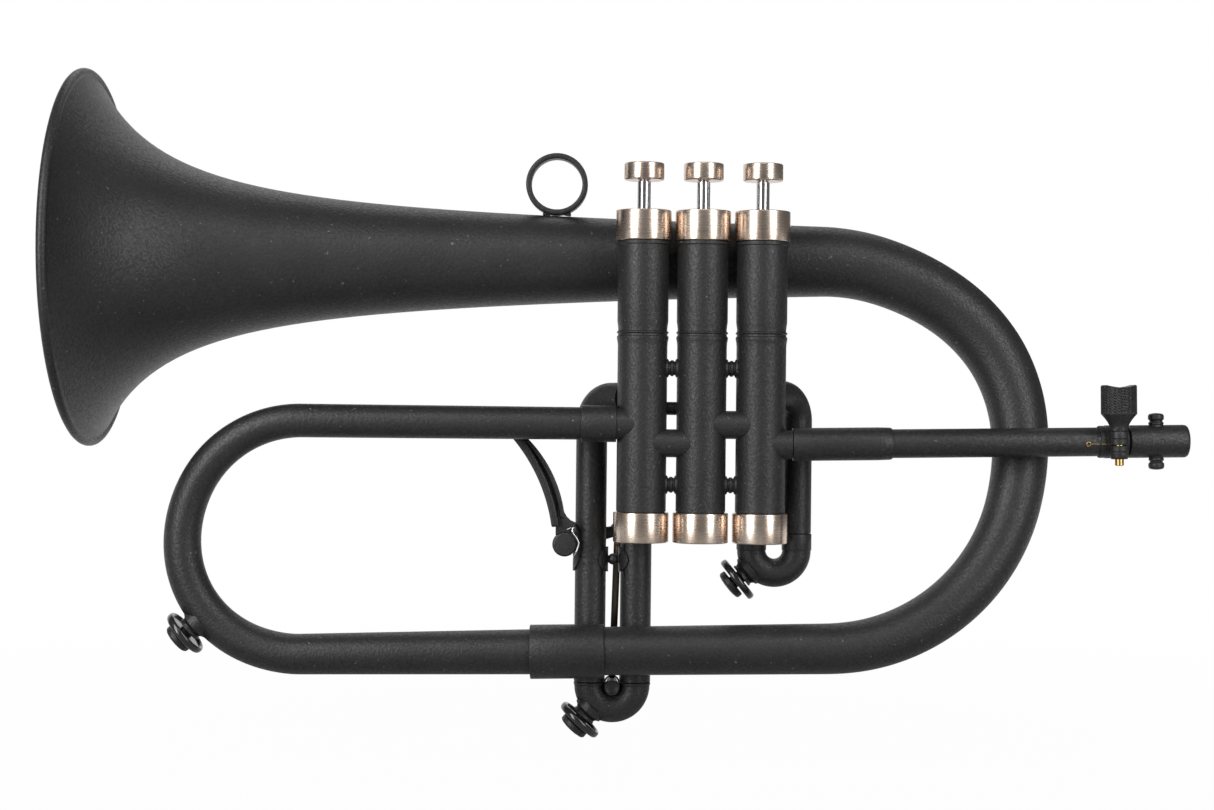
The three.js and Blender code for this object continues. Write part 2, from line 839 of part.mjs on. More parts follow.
// Finger ring on top of the bell, on a short curved foot.
function fingerRing() {
  const inner = fingerRingRadius - fingerRingThickness;
  const half = fingerRingWidth / 2;
  const round = fingerRingThickness / 2;
  const hoop = turnedRing(
    [
      [inner, -half + round],
      [inner + round, -half],
      [fingerRingRadius, -half + round],
      [fingerRingRadius, half - round],
      [inner + round, half],
      [inner, half - round],
    ],
    casingSides,
  ).rotateX(Math.PI / 2);
  const seat = bellRadius(ringFromRim);
  const centre = seat + seam + fingerRingRadius;
  const footBottom = seat - fingerRingRadius;
  const footTop = centre - fingerRingRadius + fingerRingThickness / 2;
  const foot = new THREE.BoxGeometry(ringFootLength, ringFootWidth, footTop - footBottom);
  foot.translate(0, 0, (footTop + footBottom) / 2);
  const clear = turned(
    [
      [0, -ringFootLength],
      [bellRadius(ringFromRim - ringFootLength) + seam, -ringFootLength],
      [bellRadius(ringFromRim + ringFootLength) + seam, ringFootLength],
      [0, ringFootLength],
    ],
    bellSides,
  );
  return cut(join(hoop.translate(0, 0, centre), foot), ontoX(clear)).translate(ringFromRim, 0, 0);
}
add(bellGroup, "finger_ring", fingerRing(), blackCoat);

// How far a bend by hand swells out of the round, at a share of the bend.
function swellAt({ rise, place, reach }, share) {
  const off = Math.min(Math.abs(share - place) / reach, 1);
  return rise * Math.cos((off * Math.PI) / 2) ** 2;
}

// A tube with two straights and a half turn between them, tapering as it goes.
function hairpin(start, turnStart, turnEnd, end, radii, swell, turnSteps) {
  const [first, second, third, fourth, fifth] = radii;
  const centre = turnStart.clone().add(turnEnd).multiplyScalar(0.5);
  const spoke = turnStart.clone().sub(centre);
  const outward = turnStart.clone().sub(start).normalize().multiplyScalar(spoke.length());
  const across = new THREE.Vector3().crossVectors(outward, spoke).normalize();
  const stations = [];
  const mark = (point, heading, outer) => {
    const side = new THREE.Vector3().crossVectors(across, heading).normalize();
    stations.push({ point, side, across, outer, bore: outer - tubeWall });
  };
  mark(start, turnStart.clone().sub(start).normalize(), first);
  for (let i = 0; i <= turnSteps; i++) {
    const share = i / turnSteps;
    const [c, s] = [Math.cos(Math.PI * share), Math.sin(Math.PI * share)];
    const outer =
      share < 0.5
        ? second + (third - second) * 2 * share
        : third + (fourth - third) * (2 * share - 1);
    const grown = 1 + swellAt(swell, share) / spoke.length();
    const point = centre.clone().addScaledVector(spoke, grown * c).addScaledVector(outward, grown * s);
    const heading = spoke.clone().multiplyScalar(-s).addScaledVector(outward, c);
    mark(point, heading, outer);
  }
  mark(end, end.clone().sub(turnEnd).normalize(), fifth);
  return stations;
}

// The bottom run of the horn is one straight line shared by bow, ferrule and loop.
const bottomSlope = (bowBottomZ - loopBottomZ) / (bowCentreX - loopCentreX);
const onBottomLine = (x) =>
  new THREE.Vector3(x, bowBottomY, bowBottomZ + (x - bowCentreX) * bottomSlope);
const bottomJointX = (bowFerruleFrom + bowFerruleTo) / 2;

const bowStations = hairpin(
  new THREE.Vector3(-bellJointX, bowAxisY, bowTopZ),
  new THREE.Vector3(bowCentreX, bowAxisY, bowTopZ),
  onBottomLine(bowCentreX),
  onBottomLine(bottomJointX + seam / 2),
  bowRadii,
  bowSwell,
  bowSteps,
);
add(horn, "main_bow", loft(bowStations, bowSides, "outer", "bore"), blackCoat);

const loopStations = hairpin(
  new THREE.Vector3(outletSpigotEnd - seam, portOffset, outletPort),
  new THREE.Vector3(loopCentreX, portOffset, outletPort),
  onBottomLine(loopCentreX),
  onBottomLine(bottomJointX - seam / 2),
  loopRadii,
  loopSwell,
  loopSteps,
);

// Ferrules over the joints
function ferrule(length, outer, bore, sides) {
  const half = length / 2;
  return ontoX(
    turnedRing(
      [
        [bore, -half],
        [outer - ferruleBevel, -half],
        [outer, -half + ferruleBevel],
        [outer, half - ferruleBevel],
        [outer - ferruleBevel, half],
        [bore, half],
      ],
      sides,
    ),
  );
}

// The ferrule between bell and bow carries the saddle that is brazed to the middle valve.
const bellTail = bellRadius(bellLength - bellFerruleLength / 2);
const bellFerruleBore = Math.max(bellTail, bowRadii[0]) + seam;
const bellFerruleRadius = bellFerruleBore + bellFerruleWall;
const bellFerrule = ferrule(bellFerruleLength, bellFerruleRadius, bellFerruleBore, bellSides);
const saddleDepth = bowAxisY - upperCasingRadius;
const collarBottom = topCapBottom - seam - casingCollarHeight;
const saddleHeight = 2 * (collarBottom - seam - bowTopZ);
const bellSaddle = new THREE.BoxGeometry(bellSaddleWidth, saddleDepth, saddleHeight);
bellSaddle.translate(0, -saddleDepth / 2, 0);
const bellFerruleGroup = groupAt(horn, 0, bowAxisY, bowTopZ);
add(
  bellFerruleGroup,
  "bell_ferrule",
  cut(
    join(bellFerrule, bellSaddle),
    ontoX(bar(bellFerruleBore, -bellFerruleLength, bellFerruleLength, bellSides)),
    bar(upperCasingRadius + seam, -bellFerruleLength, bellFerruleLength, casingSides)
      .translate(0, -bowAxisY, 0),
  ),
  blackCoat,
);

const bowFerruleGroup = groupAt(horn, ...onBottomLine(bottomJointX).toArray());
bowFerruleGroup.rotation.y = -Math.atan(bottomSlope);
add(
  bowFerruleGroup,
  "bow_ferrule",
  ferrule(bowFerruleTo - bowFerruleFrom, bowFerruleRadius, bowRadii[4] + seam, bowSides),
  blackCoat,
);

const outletFerruleGroup = groupAt(
  horn,
  (outletFerruleFrom + outletFerruleTo) / 2 - seam / 2,
  portOffset,
  outletPort,
);
add(
  outletFerruleGroup,
  "outlet_ferrule",
  cut(
    ferrule(
      outletFerruleTo - outletFerruleFrom - seam,
      outletFerruleRadius,
      loopRadii[0] + seam,
      tubeSides,
    ),
    casingClearance(3).translate(
      -outletFerruleGroup.position.x,
      -portOffset,
      -outletPort,
    ),
  ),
  blackCoat,
);

// Water keys. The boss, its post and its cap are brazed to the tube; the ring slides on the
// post towards the tube to open the drain hole.
function keyBody(tubeRadius) {
  const seat = tubeRadius / 2;
  return turned(
    [
      [0, seat],
      [keyBossRadius, seat],
      [keyBossWaist, tubeRadius + keyBossHeight / 2],
      [keyBossRadius, tubeRadius + keyBossHeight],
      [keyPostRadius, tubeRadius + keyBossHeight],
      [keyPostRadius, tubeRadius + keyCapBottom],
      [keyCapRadius - keyCapBevel, tubeRadius + keyCapBottom],
      [keyCapRadius, tubeRadius + keyCapBottom + keyCapBevel / 2],
      [keyCapRadius, tubeRadius + keyCapTop - keyCapBevel],
      [keyCapRadius - keyCapBevel, tubeRadius + keyCapTop - keyCapBevel / 4],
      [0, tubeRadius + keyCapTop],
    ],
    smallSides,
  );
}

function keyRing(tubeRadius) {
  const middle = tubeRadius + keyRingMiddle;
  const half = keyRingWidth / 2;
  const inner = keyRingRadius - keyRingThickness;
  const round = keyRingThickness / 4;
  return turnedRing(
    [
      [keyPostRadius + running, middle - keyWebThickness / 2],
      [inner, middle - keyWebThickness / 2],
      [inner + round, middle - half],
      [keyRingRadius - round, middle - half],
      [keyRingRadius, middle],
      [keyRingRadius - round, middle + half],
      [inner + round, middle + half],
      [inner, middle + keyWebThickness / 2],
      [keyPostRadius + running, middle + keyWebThickness / 2],
    ],
    casingSides,
  );
}

// Places a key's geometry on a bend: out from the bend's centre, some degrees below -X.
function onBend(geometry, centre, bendRadius, angleBelow) {
  const out = new THREE.Vector3(
    -Math.cos(angleBelow * degrees),
    0,
    -Math.sin(angleBelow * degrees),
  );
  const turn = new THREE.Quaternion().setFromUnitVectors(alongZ, out);
  return geometry.applyQuaternion(turn).translate(
    centre.x + out.x * bendRadius,
    centre.y,
    centre.z + out.z * bendRadius,
  );
}

const loopTop = new THREE.Vector3(loopCentreX, portOffset, outletPort);
const loopCentre = loopTop.clone().add(onBottomLine(loopCentreX)).multiplyScalar(0.5);
const loopKeyShare = (90 + keyAngles.loop) / 180;
const loopBend = loopTop.distanceTo(loopCentre) + swellAt(loopSwell, loopKeyShare);
const loopKeyRadius = (loopRadii[2] + loopRadii[3]) / 2;
add(
  horn,
  "branch_loop",
  cut(
    join(
      loft(loopStations, tubeSides, "outer", "bore"),
      onBend(keyBody(loopKeyRadius), loopCentre, loopBend, keyAngles.loop),
    ),
    loft(loopStations, tubeSides, "bore"),
  ),
  blackCoat,
);
add(
  horn,
  "loop_water_key_ring",
  onBend(keyRing(loopKeyRadius), loopCentre, loopBend, keyAngles.loop),
  blackGloss,
);

// Valve slides. A sleeve is brazed to the casing; the crook's two legs slide in the sleeves.
const legPlay = seam;
const legRadius = (sleeveRadius) => sleeveRadius - slideWall - legPlay;

// A sleeve that rises behind a valve and turns into its port.
function risingSleeve(valve, legX, bottom, height, elbow, radius) {
  const towards = new THREE.Vector3(valveX[valve] - legX, -slideSideY, 0);
  const distance = towards.length();
  towards.normalize();
  const start = new THREE.Vector3(legX, slideSideY, bottom);
  const pipe = new Pipe(start, alongZ, alongX, radius, radius - slideWall);
  pipe.straight(height - elbow - bottom);
  pipe.bend(towards, 90 * degrees, elbow, elbowSteps);
  pipe.straight(distance - elbow - lowerCasingRadius / 2);
  return cut(pipe.shell(smallSides), casingClearance(valve));
}

// A crook with its two inner legs, drawn towards a heading.
function crookPipe(start, heading, across, span, sizes) {
  const { leg, ferruleRadius, ferruleLength, crook, insert } = sizes;
  const pipe = new Pipe(start, heading, alongX, leg, leg - slideWall);
  pipe.straight(insert + seam);
  pipe.step(ferruleRadius).straight(ferruleLength).step(crook);
  pipe.bend(across, Math.PI, span / 2, crookSteps);
  pipe.step(ferruleRadius).straight(ferruleLength).step(leg);
  return pipe.straight(insert + seam);
}

function slideCrook(legs, sleeveEnd, crookZ, insert, sleeveRadius, crookRadius) {
  const start = new THREE.Vector3(legs[0], slideSideY, sleeveEnd + insert);
  return crookPipe(start, alongZ.clone().negate(), alongX, legs[1] - legs[0], {
    leg: legRadius(sleeveRadius),
    ferruleRadius: sleeveRadius + crookFerruleRise,
    ferruleLength: sleeveEnd - seam - crookZ,
    crook: crookRadius,
    insert,
  });
}

// A crook with a water key on its bend.
function crookWithKey(pipe, legs, crookZ, crookRadius, angle, ...extras) {
  const centre = new THREE.Vector3((legs[0] + legs[1]) / 2, slideSideY, crookZ);
  const key = onBend(keyBody(crookRadius), centre, (legs[1] - legs[0]) / 2, angle);
  return cut(join(pipe.shell(smallSides), key, ...extras), pipe.core(smallSides));
}

function keyRingOn(legs, crookZ, crookRadius, angle) {
  const centre = new THREE.Vector3((legs[0] + legs[1]) / 2, slideSideY, crookZ);
  return onBend(keyRing(crookRadius), centre, (legs[1] - legs[0]) / 2, angle);
}

// First slide
const firstSleeves = [
  ["first_sleeve_rear", firstLegs[0], lowSlidePort, elbowRise],
  ["first_sleeve_front", firstLegs[1], firstPort, firstElbow],
];
for (const [name, x, port, elbow] of firstSleeves) {
  const shape = risingSleeve(1, x, firstSleeveEnd, port, elbow, firstSleeveRadius);
  add(horn, name, shape, blackCoat);
}
const firstPipe = slideCrook(
  firstLegs,
  firstSleeveEnd,
  firstCrookZ,
  firstInsert - elbowRise,
  firstSleeveRadius,
  firstSleeveRadius,
);
add(
  horn,
  "first_slide_crook",
  crookWithKey(firstPipe, firstLegs, firstCrookZ, firstSleeveRadius, keyAngles.first),
  blackCoat,
);
add(
  horn,
  "first_water_key_ring",
  keyRingOn(firstLegs, firstCrookZ, firstSleeveRadius, keyAngles.first),
  blackGloss,
);

// Second slide, which runs straight back from the middle valve
function straightSleeve(height) {
  const start = new THREE.Vector3(0, secondSleeveEnd, height);
  const heading = alongY.clone().negate();
  const bore = firstSleeveRadius - slideWall;
  const pipe = new Pipe(start, heading, alongX, firstSleeveRadius, bore);
  pipe.straight(secondSleeveEnd - lowerCasingRadius / 2);
  return cut(pipe.shell(pinSides), casingClearance(2));
}
["lower", "upper"].forEach((which, i) => {
  add(horn, "second_sleeve_" + which, straightSleeve(secondPorts[i]), blackCoat);
});
const secondPipe = crookPipe(
  new THREE.Vector3(0, secondSleeveEnd - secondInsert, secondPorts[0]),
  alongY,
  alongZ,
  secondPorts[1] - secondPorts[0],
  {
    leg: legRadius(firstSleeveRadius),
    ferruleRadius: firstSleeveRadius + crookFerruleRise,
    ferruleLength: secondCrookY - secondSleeveEnd - seam,
    crook: firstSleeveRadius,
    insert: secondInsert,
  },
);
add(horn, "second_slide_crook", secondPipe.shell(pinSides), blackCoat);

// Third slide
const thirdSleeves = [
  ["third_sleeve_front", thirdLegs[0], thirdPort, thirdElbow],
  ["third_sleeve_rear", thirdLegs[1], lowSlidePort, elbowRise],
];
for (const [name, x, port, elbow] of thirdSleeves) {
  const shape = risingSleeve(3, x, thirdSleeveEnd, port, elbow, thirdSleeveRadius);
  add(horn, name, shape, blackCoat);
}
const thirdMiddle = (thirdLegs[0] + thirdLegs[1]) / 2;
const crankFrontY = barrelBackY + seam;
const crankBackY = crankFrontY + crankThickness;
const rodFrontY = crankBackY + seam;
const rodBackY = rodFrontY + rodThickness;

// The boss through the crook carries a knob in front and the trigger's rod behind.
const bossKnob = crossBar(bossKnobRadius, bossFrontY, bossFrontY + bossKnobLength);
const bossShaft = crossBar(bossShaftRadius, bossFrontY, rodBackY + rodThickness);
const thirdPipe = slideCrook(
  thirdLegs,
  thirdSleeveEnd,
  thirdCrookZ,
  thirdInsert,
  thirdSleeveRadius,
  thirdCrookRadius,
);
add(
  horn,
  "third_slide_crook",
  crookWithKey(
    thirdPipe,
    thirdLegs,
    thirdCrookZ,
    thirdCrookRadius,
    keyAngles.third,
    bossKnob.translate(thirdMiddle, 0, bossZ),
    bossShaft.translate(thirdMiddle, 0, bossZ),
  ),
  blackCoat,
);
add(
  horn,
  "third_water_key_ring",
  keyRingOn(thirdLegs, thirdCrookZ, thirdCrookRadius, keyAngles.third),
  blackGloss,
);

// A curved patch that lies on an upright leg, cut from the side facing along X.
function legSaddle(legX, halfWidth, bottom, top, facing) {
  const inner = thirdSleeveRadius + seam;
  const outer = inner + saddleThickness;
  const skin = turnedRing(
    [[inner, bottom], [outer, bottom], [outer, top], [inner, top]],
    casingSides,
  );
  const middle = (top + bottom) / 2;
  const lens = ontoX(bar(halfWidth, 0, outer + overrun, bowSides))
    .scale(facing, 1, (top - bottom) / (2 * halfWidth));
  const upright = facing < 0 ? lens.rotateX(Math.PI) : lens;
  return common(skin, flipped(upright, facing).translate(0, 0, middle))
    .translate(legX, slideSideY, 0);
}

// Mirroring turns faces inside out, so their corners are put back in order.
function flipped(geometry, facing) {
  if (facing > 0) return geometry;
  const corners = geometry.index.array;
  for (let i = 0; i < corners.length; i += 3) {
    [corners[i + 1], corners[i + 2]] = [corners[i + 2], corners[i + 1]];
  }
  return geometry;
}

// Ball stay between the third slide's sleeves
const ballBottom = ballStayZ - ballSaddleHeight / 2;
const ballTop = ballStayZ + ballSaddleHeight / 2;
const sleeveSkin = thirdSleeveRadius + seam;
const ballRod = ontoX(
  bar(ballStayRod, thirdLegs[0] + sleeveSkin, thirdLegs[1] - sleeveSkin, smallSides),
);
const ball = new THREE.SphereGeometry(ballStayRadius, smallSides, smallSides / 2);
add(
  horn,
  "third_slide_stay",
  join(
    legSaddle(thirdLegs[0], ballSaddleReach, ballBottom, ballTop, 1),
    legSaddle(thirdLegs[1], ballSaddleReach, ballBottom, ballTop, -1),
    ballRod.translate(0, slideSideY, ballStayZ),
    ball.rotateX(Math.PI / 2).translate(thirdMiddle, slideSideY, ballStayZ),
  ),
  blackCoat,
);

// Trigger. The thumb lever's hub turns a shaft that runs back through the barrel; the crank
// behind pushes the rod, and the rod draws the third slide.
const shaftBore = shaftRadius + running;
const shaftFrontY = (hubFrontY + hubBackY) / 2;
const barrelFrontY = hubBackY + seam;
const torsionFrontY = barrelFrontY + seam + torsionWire / 2;
const torsionRoomY = torsionFrontY + torsionTurns * torsionPitch + torsionWire / 2 + seam;
const torsionRoom = Math.hypot(torsionRadius + torsionWire / 2, torsionLeg) + seam;
const aroundPivot = (radius, front, back, sides) =>
  crossBar(radius, front, back, sides).translate(pivotX, 0, pivotZ);

function triggerBracket() {
  const saddle = legSaddle(thirdLegs[0], bracketReach, bracketBottom, bracketTop, -1);
  const room = aroundPivot(torsionRoom, hubFrontY, torsionRoomY);
  return cut(
    join(
      cut(join(saddle, aroundPivot(barrelRadius, torsionRoomY - overrun, barrelBackY)), room),
      aroundPivot(barrelNeckRadius, barrelFrontY, torsionRoomY + overrun),
    ),
    aroundPivot(shaftBore, barrelFrontY - overrun, barrelBackY + overrun),
    bar(thirdSleeveRadius + seam, bracketBottom, bracketTop, casingSides)
      .translate(thirdLegs[0], slideSideY, 0),
  );
}
add(horn, "trigger_bracket", triggerBracket(), blackCoat);

const trigger = groupAt(horn, pivotX, 0, pivotZ);

// The rib's foot: it leaves the hub and sweeps into the rib.
const footShares = [
  [-1, 0],
  [-0.86, 1.5],
  [-0.5, 2.75],
  [-0.1, 2.7],
  [0.24, 2.14],
  [0.75, 1.78],
  [0.5, 0.8],
];

function triggerLever() {
  const [cx, cz] = paddleCentre;
  const [rx, rz] = ribCentre;
  const [low, high] = paddleSpan.map((angle) => angle * degrees);
  const thumbPlate = new THREE.Shape();
  thumbPlate.absarc(cx, cz, paddleRadius, high, low, true);
  thumbPlate.absarc(cx, cz, paddleRadius + paddleThickness, low, high, false);
  const rib = new THREE.Shape();
  const ribInside = paddleRadius + paddleThickness / 2;
  rib.absarc(cx, cz, ribInside, high, ribRoot * degrees, true);
  rib.absarc(rx, rz, ribRadius, low, high, false);
  const foot = new THREE.Shape(
    footShares.map(([x, z]) => new THREE.Vector2(x * hubRadius, z * hubRadius)),
  );
  const hub = cut(
    crossBar(hubRadius, hubFrontY, hubBackY, casingSides),
    crossBar(shaftBore, shaftFrontY, hubBackY + overrun),
  );
  return join(
    hub,
    plate(thumbPlate, paddleFrontY, paddleBackY, pinSides),
    plate(rib, ribFrontY, ribBackY, pinSides),
    cut(plate(foot, ribFrontY, ribBackY), crossBar(shaftBore, shaftFrontY, hubBackY)),
  );
}
add(trigger, "trigger_lever", triggerLever(), blackCoat);

// A link with a large end at the origin and a small end along X, as one outline.
function linkShape(length, largeRadius, smallRadius) {
  const lean = Math.acos((largeRadius - smallRadius) / length);
  const shape = new THREE.Shape();
  shape.absarc(0, 0, largeRadius, lean, 2 * Math.PI - lean, false);
  shape.absarc(length, 0, smallRadius, -lean, lean, false);
  return shape;
}

const restTurn = (triggerTurn / 2) * degrees;
const pinX = crankLength * Math.cos(restTurn);
const pinZ = crankLength * Math.sin(restTurn);
const crankArm = plate(
  linkShape(crankLength, barrelRadius, crankPinRadius + tubeWall),
  crankFrontY,
  crankBackY,
);
const crank = join(
  crankArm.rotateY(-restTurn),
  crossBar(shaftRadius, shaftFrontY + seam, crankBackY),
  crossBar(crankPinRadius, crankFrontY, crankFrontY + crankPinLength + crankThickness)
    .translate(pinX, 0, pinZ),
);
add(trigger, "trigger_crank", crank, blackCoat);

// Return spring: a few turns round the barrel, with both ends carried out to the bracket.
class TorsionCurve extends THREE.Curve {
  getPoint(share) {
    const coil = 2 * Math.PI * torsionTurns * torsionRadius;
    const total = coil + 2 * torsionLeg;
    const along = share * total;
    const run = Math.min(Math.max(along - torsionLeg, 0), coil);
    const angle = run / torsionRadius;
    const straight = along - torsionLeg - run;
    const y = torsionFrontY + (torsionPitch * angle) / (2 * Math.PI);
    return new THREE.Vector3(
      torsionRadius * Math.cos(angle) - straight * Math.sin(angle),
      y,
      torsionRadius * Math.sin(angle) + straight * Math.cos(angle),
    );
  }
}
const torsionCurve = new TorsionCurve();
const torsionSteps = stepsPerTurn * torsionTurns + 2 * torsionLegSteps;
const torsionSpring = wireAlong(torsionCurve, torsionWire, torsionSteps);
add(trigger, "trigger_spring", torsionSpring, steel);

for (const [label, gap] of [
  ["valve spring", leastGap(valveCoil, springWire, valveCoilSteps, stepsPerTurn)],
  ["trigger spring", leastGap(torsionCurve, torsionWire, torsionSteps, stepsPerTurn)],
]) {
  console.log(label + ": least gap between turns " + gap.toFixed(2) + " mm");
}

// Rod from the crank's pin down to the boss on the third crook
function triggerRod() {
  const top = new THREE.Vector3(pivotX + pinX, 0, pivotZ + pinZ);
  const bottom = new THREE.Vector3(thirdMiddle, 0, bossZ);
  const reach = top.distanceTo(bottom);
  const lean = Math.atan2(top.x - bottom.x, top.z - bottom.z);
  const middle = top.clone().add(bottom).multiplyScalar(0.5);
  const bladeLength = reach - rodEyeRadius;
  const blade = new THREE.BoxGeometry(rodWidth, rodThickness, bladeLength)
    .rotateY(lean)
    .translate(middle.x, (rodFrontY + rodBackY) / 2, middle.z);
  const eye = (place) => crossBar(rodEyeRadius, rodFrontY, rodBackY).translate(place.x, 0, place.z);
  const hole = (place, radius) =>
    crossBar(radius, rodFrontY - overrun, rodBackY + overrun).translate(place.x, 0, place.z);
  return cut(
    join(blade, eye(top), eye(bottom)),
    hole(top, crankPinRadius + rodEyePlay),
    hole(bottom, bossShaftRadius + seam),
  );
}
add(horn, "trigger_rod", triggerRod(), steel);

// Lead pipe, in a frame whose X axis runs from the inlet knuckle towards the player
const leadPipe = groupAt(horn, inletEnd + seam, portOffset, inletPort);
leadPipe.rotation.y = -Math.atan(leadSlope);

const leadFerrule = ferrule(leadFerruleLength, leadFerruleRadius, leadRadius + seam, tubeSides);
add(leadPipe, "lead_pipe_ferrule", leadFerrule.translate(leadFerruleLength / 2, 0, 0), blackCoat);

function leadTube() {
  const bore = leadRadius - leadWall;
  const tube = ontoX(
    turnedRing([[bore, 0], [leadRadius, 0], [leadRadius, leadLength], [bore, leadLength]], tubeSides),
  );
  const slit = new THREE.BoxGeometry(slitLength, 2 * leadRadius, slitWidth)
    .translate(leadLength - slitLength / 2, -leadRadius, -slitDrop);
  const hole = crossBar(slitHoleRadius, -2 * leadRadius, 0)
    .translate(leadLength - slitLength, 0, -slitDrop);
  return cut(tube, slit, hole);
}
add(leadPipe, "lead_pipe", leadTube(), blackCoat);

// Split clamp round the slit end, with two lugs in front for the thumb screw
const clampX = leadLength - clampFromEnd;
const clampBore = leadRadius + seam;
function clamp() {
  const middle = clampFromEnd - clampEndGap - clampWidth / 2;
  const ring = ferrule(clampWidth, clampRadius, clampBore, tubeSides).translate(middle, 0, 0);
  const inFront = (geometry) => geometry.translate(0, -lugOffset, -slitDrop);
  return cut(
    join(ring, inFront(bar(lugRadius, -lugHeight / 2, lugHeight / 2, tubeSides))),
    ontoX(bar(clampBore, -clampWidth, clampWidth, tubeSides)),
    inFront(bar(clampScrewRadius + seam, -lugHeight, lugHeight, smallSides)),
    inFront(new THREE.BoxGeometry(2 * clampWidth, 2 * lugOffset, lugSlit)),
  );
}
add(leadPipe, "clamp_collar", clamp().translate(clampX, 0, 0), blackCoat);

// The clamp's thumb screw: a knurled head, here with coarse ribs, on a brass screw
const thumbBottom = lugHeight / 2 + seam;
const thumbTop = thumbBottom + thumbNeckHeight + thumbFlareHeight + thumbHeadHeight;
function thumbHead() {
  const headBottom = thumbTop - thumbHeadHeight;
  const star = Array.from({ length: 2 * thumbRibs }, (_, k) => {
    const radius = thumbHeadRadius - (k % 2) * thumbRibDepth;
    const angle = (k * Math.PI) / thumbRibs;
    return new THREE.Vector2(radius * Math.cos(angle), radius * Math.sin(angle));
  });
  const settings = { depth: thumbHeadHeight, bevelEnabled: false };
  const knurl = new THREE.ExtrudeGeometry(new THREE.Shape(star), settings)
    .translate(0, 0, headBottom);
  const rounding = turned(
    [
      [0, thumbBottom],
      [thumbNeckRadius, thumbBottom],
      [thumbNeckRadius, thumbBottom + thumbNeckHeight],
      [thumbHeadRadius, headBottom],
      [thumbHeadRadius, thumbTop - thumbBevel],
      [thumbHeadRadius - thumbBevel, thumbTop],
      [0, thumbTop],
    ],
    casingSides,
  );
  const neck = turned(
    [
      [0, thumbBottom],
      [thumbNeckRadius, thumbBottom],
      [thumbNeckRadius, thumbBottom + thumbNeckHeight],
      [thumbHeadRadius - thumbRibDepth, headBottom],
      [thumbHeadRadius - thumbRibDepth, headBottom + thumbBevel],
      [0, headBottom + thumbBevel],
    ],
    casingSides,
  );
  const halfWidth = thumbScoopWidth / 2;
  const scoopRadius = (halfWidth ** 2 + thumbScoopDepth ** 2) / (2 * thumbScoopDepth);
  return cut(
    join(common(knurl, rounding), neck),
    bar(clampScrewRadius + seam, 0, thumbBottom + thumbNeckHeight, smallSides),
    crossBar(scoopRadius, -2 * thumbHeadRadius, 2 * thumbHeadRadius, casingSides)
      .translate(0, 0, thumbTop - thumbScoopDepth + scoopRadius),
  );
}
const screwPlace = groupAt(leadPipe, clampX, -lugOffset, -slitDrop);
add(screwPlace, "clamp_thumb_head", thumbHead(), blackCoat);
const screwEnd = -lugHeight / 2 - clampScrewTip;
const screwRoof = thumbBottom + thumbNeckHeight - seam;
add(screwPlace, "clamp_screw", bar(clampScrewRadius, screwEnd, screwRoof, smallSides), brass);

// Mouthpiece receiver, which slides in the slit end of the lead pipe
function receiver() {
  const from = leadLength + seam;
  const to = from + receiverLength;
  const legOuter = leadRadius - leadWall - running;
  const bore = legOuter - receiverLegWall;
  const body = ontoX(
    turnedRing(
      [
        [bore, from - receiverInsert],
        [legOuter, from - receiverInsert],
        [legOuter, from],
        [receiverRadius - ferruleBevel, from],
        [receiverRadius, from + ferruleBevel],
        [receiverRadius, to - receiverBevel],
        [receiverRadius - receiverBevel, to],
        [mouthRadius, to],
        [bore, to - mouthDepth],
      ],
      tubeSides,
    ),
  );
  const knob = [
    [0, receiverRadius - receiverBevel],
    [pullKnobRadius, receiverRadius - receiverBevel],
    ...pullKnobShares.map(([out, high]) => [out * pullKnobRadius, high * pullKnobHeight]),
    [0, pullKnobHeight],
  ];
  const knobX = to - pullKnobFromMouth;
  const knobs = [0, Math.PI].map((turn) =>
    turned(knob, pinSides).rotateX(turn).translate(knobX, 0, 0));
  return join(body, ...knobs);
}
add(leadPipe, "mouthpiece_receiver", receiver(), blackCoat);

export default horn;
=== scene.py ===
import math

import bpy
from mathutils import Matrix, Vector


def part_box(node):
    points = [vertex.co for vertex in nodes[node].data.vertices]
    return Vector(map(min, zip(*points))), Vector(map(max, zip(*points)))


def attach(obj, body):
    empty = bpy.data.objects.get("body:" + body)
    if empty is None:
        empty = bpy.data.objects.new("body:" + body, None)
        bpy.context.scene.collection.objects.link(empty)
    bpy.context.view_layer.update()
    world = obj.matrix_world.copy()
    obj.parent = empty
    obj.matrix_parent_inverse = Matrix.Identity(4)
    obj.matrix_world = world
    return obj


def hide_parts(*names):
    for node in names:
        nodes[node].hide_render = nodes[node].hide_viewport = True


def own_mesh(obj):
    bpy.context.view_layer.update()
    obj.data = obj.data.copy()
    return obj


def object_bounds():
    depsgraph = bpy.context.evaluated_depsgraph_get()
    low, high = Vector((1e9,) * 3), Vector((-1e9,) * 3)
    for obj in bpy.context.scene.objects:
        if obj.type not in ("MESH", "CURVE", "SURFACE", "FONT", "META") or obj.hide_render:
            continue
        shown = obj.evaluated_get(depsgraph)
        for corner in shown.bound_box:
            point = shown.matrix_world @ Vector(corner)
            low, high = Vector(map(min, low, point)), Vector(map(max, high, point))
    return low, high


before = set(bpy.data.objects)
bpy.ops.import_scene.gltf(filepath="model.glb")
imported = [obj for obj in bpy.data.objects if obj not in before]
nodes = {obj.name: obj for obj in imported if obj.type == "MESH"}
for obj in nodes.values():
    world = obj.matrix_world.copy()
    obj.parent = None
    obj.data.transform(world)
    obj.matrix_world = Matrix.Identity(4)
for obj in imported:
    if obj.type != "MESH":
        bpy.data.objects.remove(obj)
cad_box = [list(corner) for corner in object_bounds()]
mm = 0.001
x_axis, y_axis, z_axis = Vector((1, 0, 0)), Vector((0, 1, 0)), Vector((0, 0, 1))

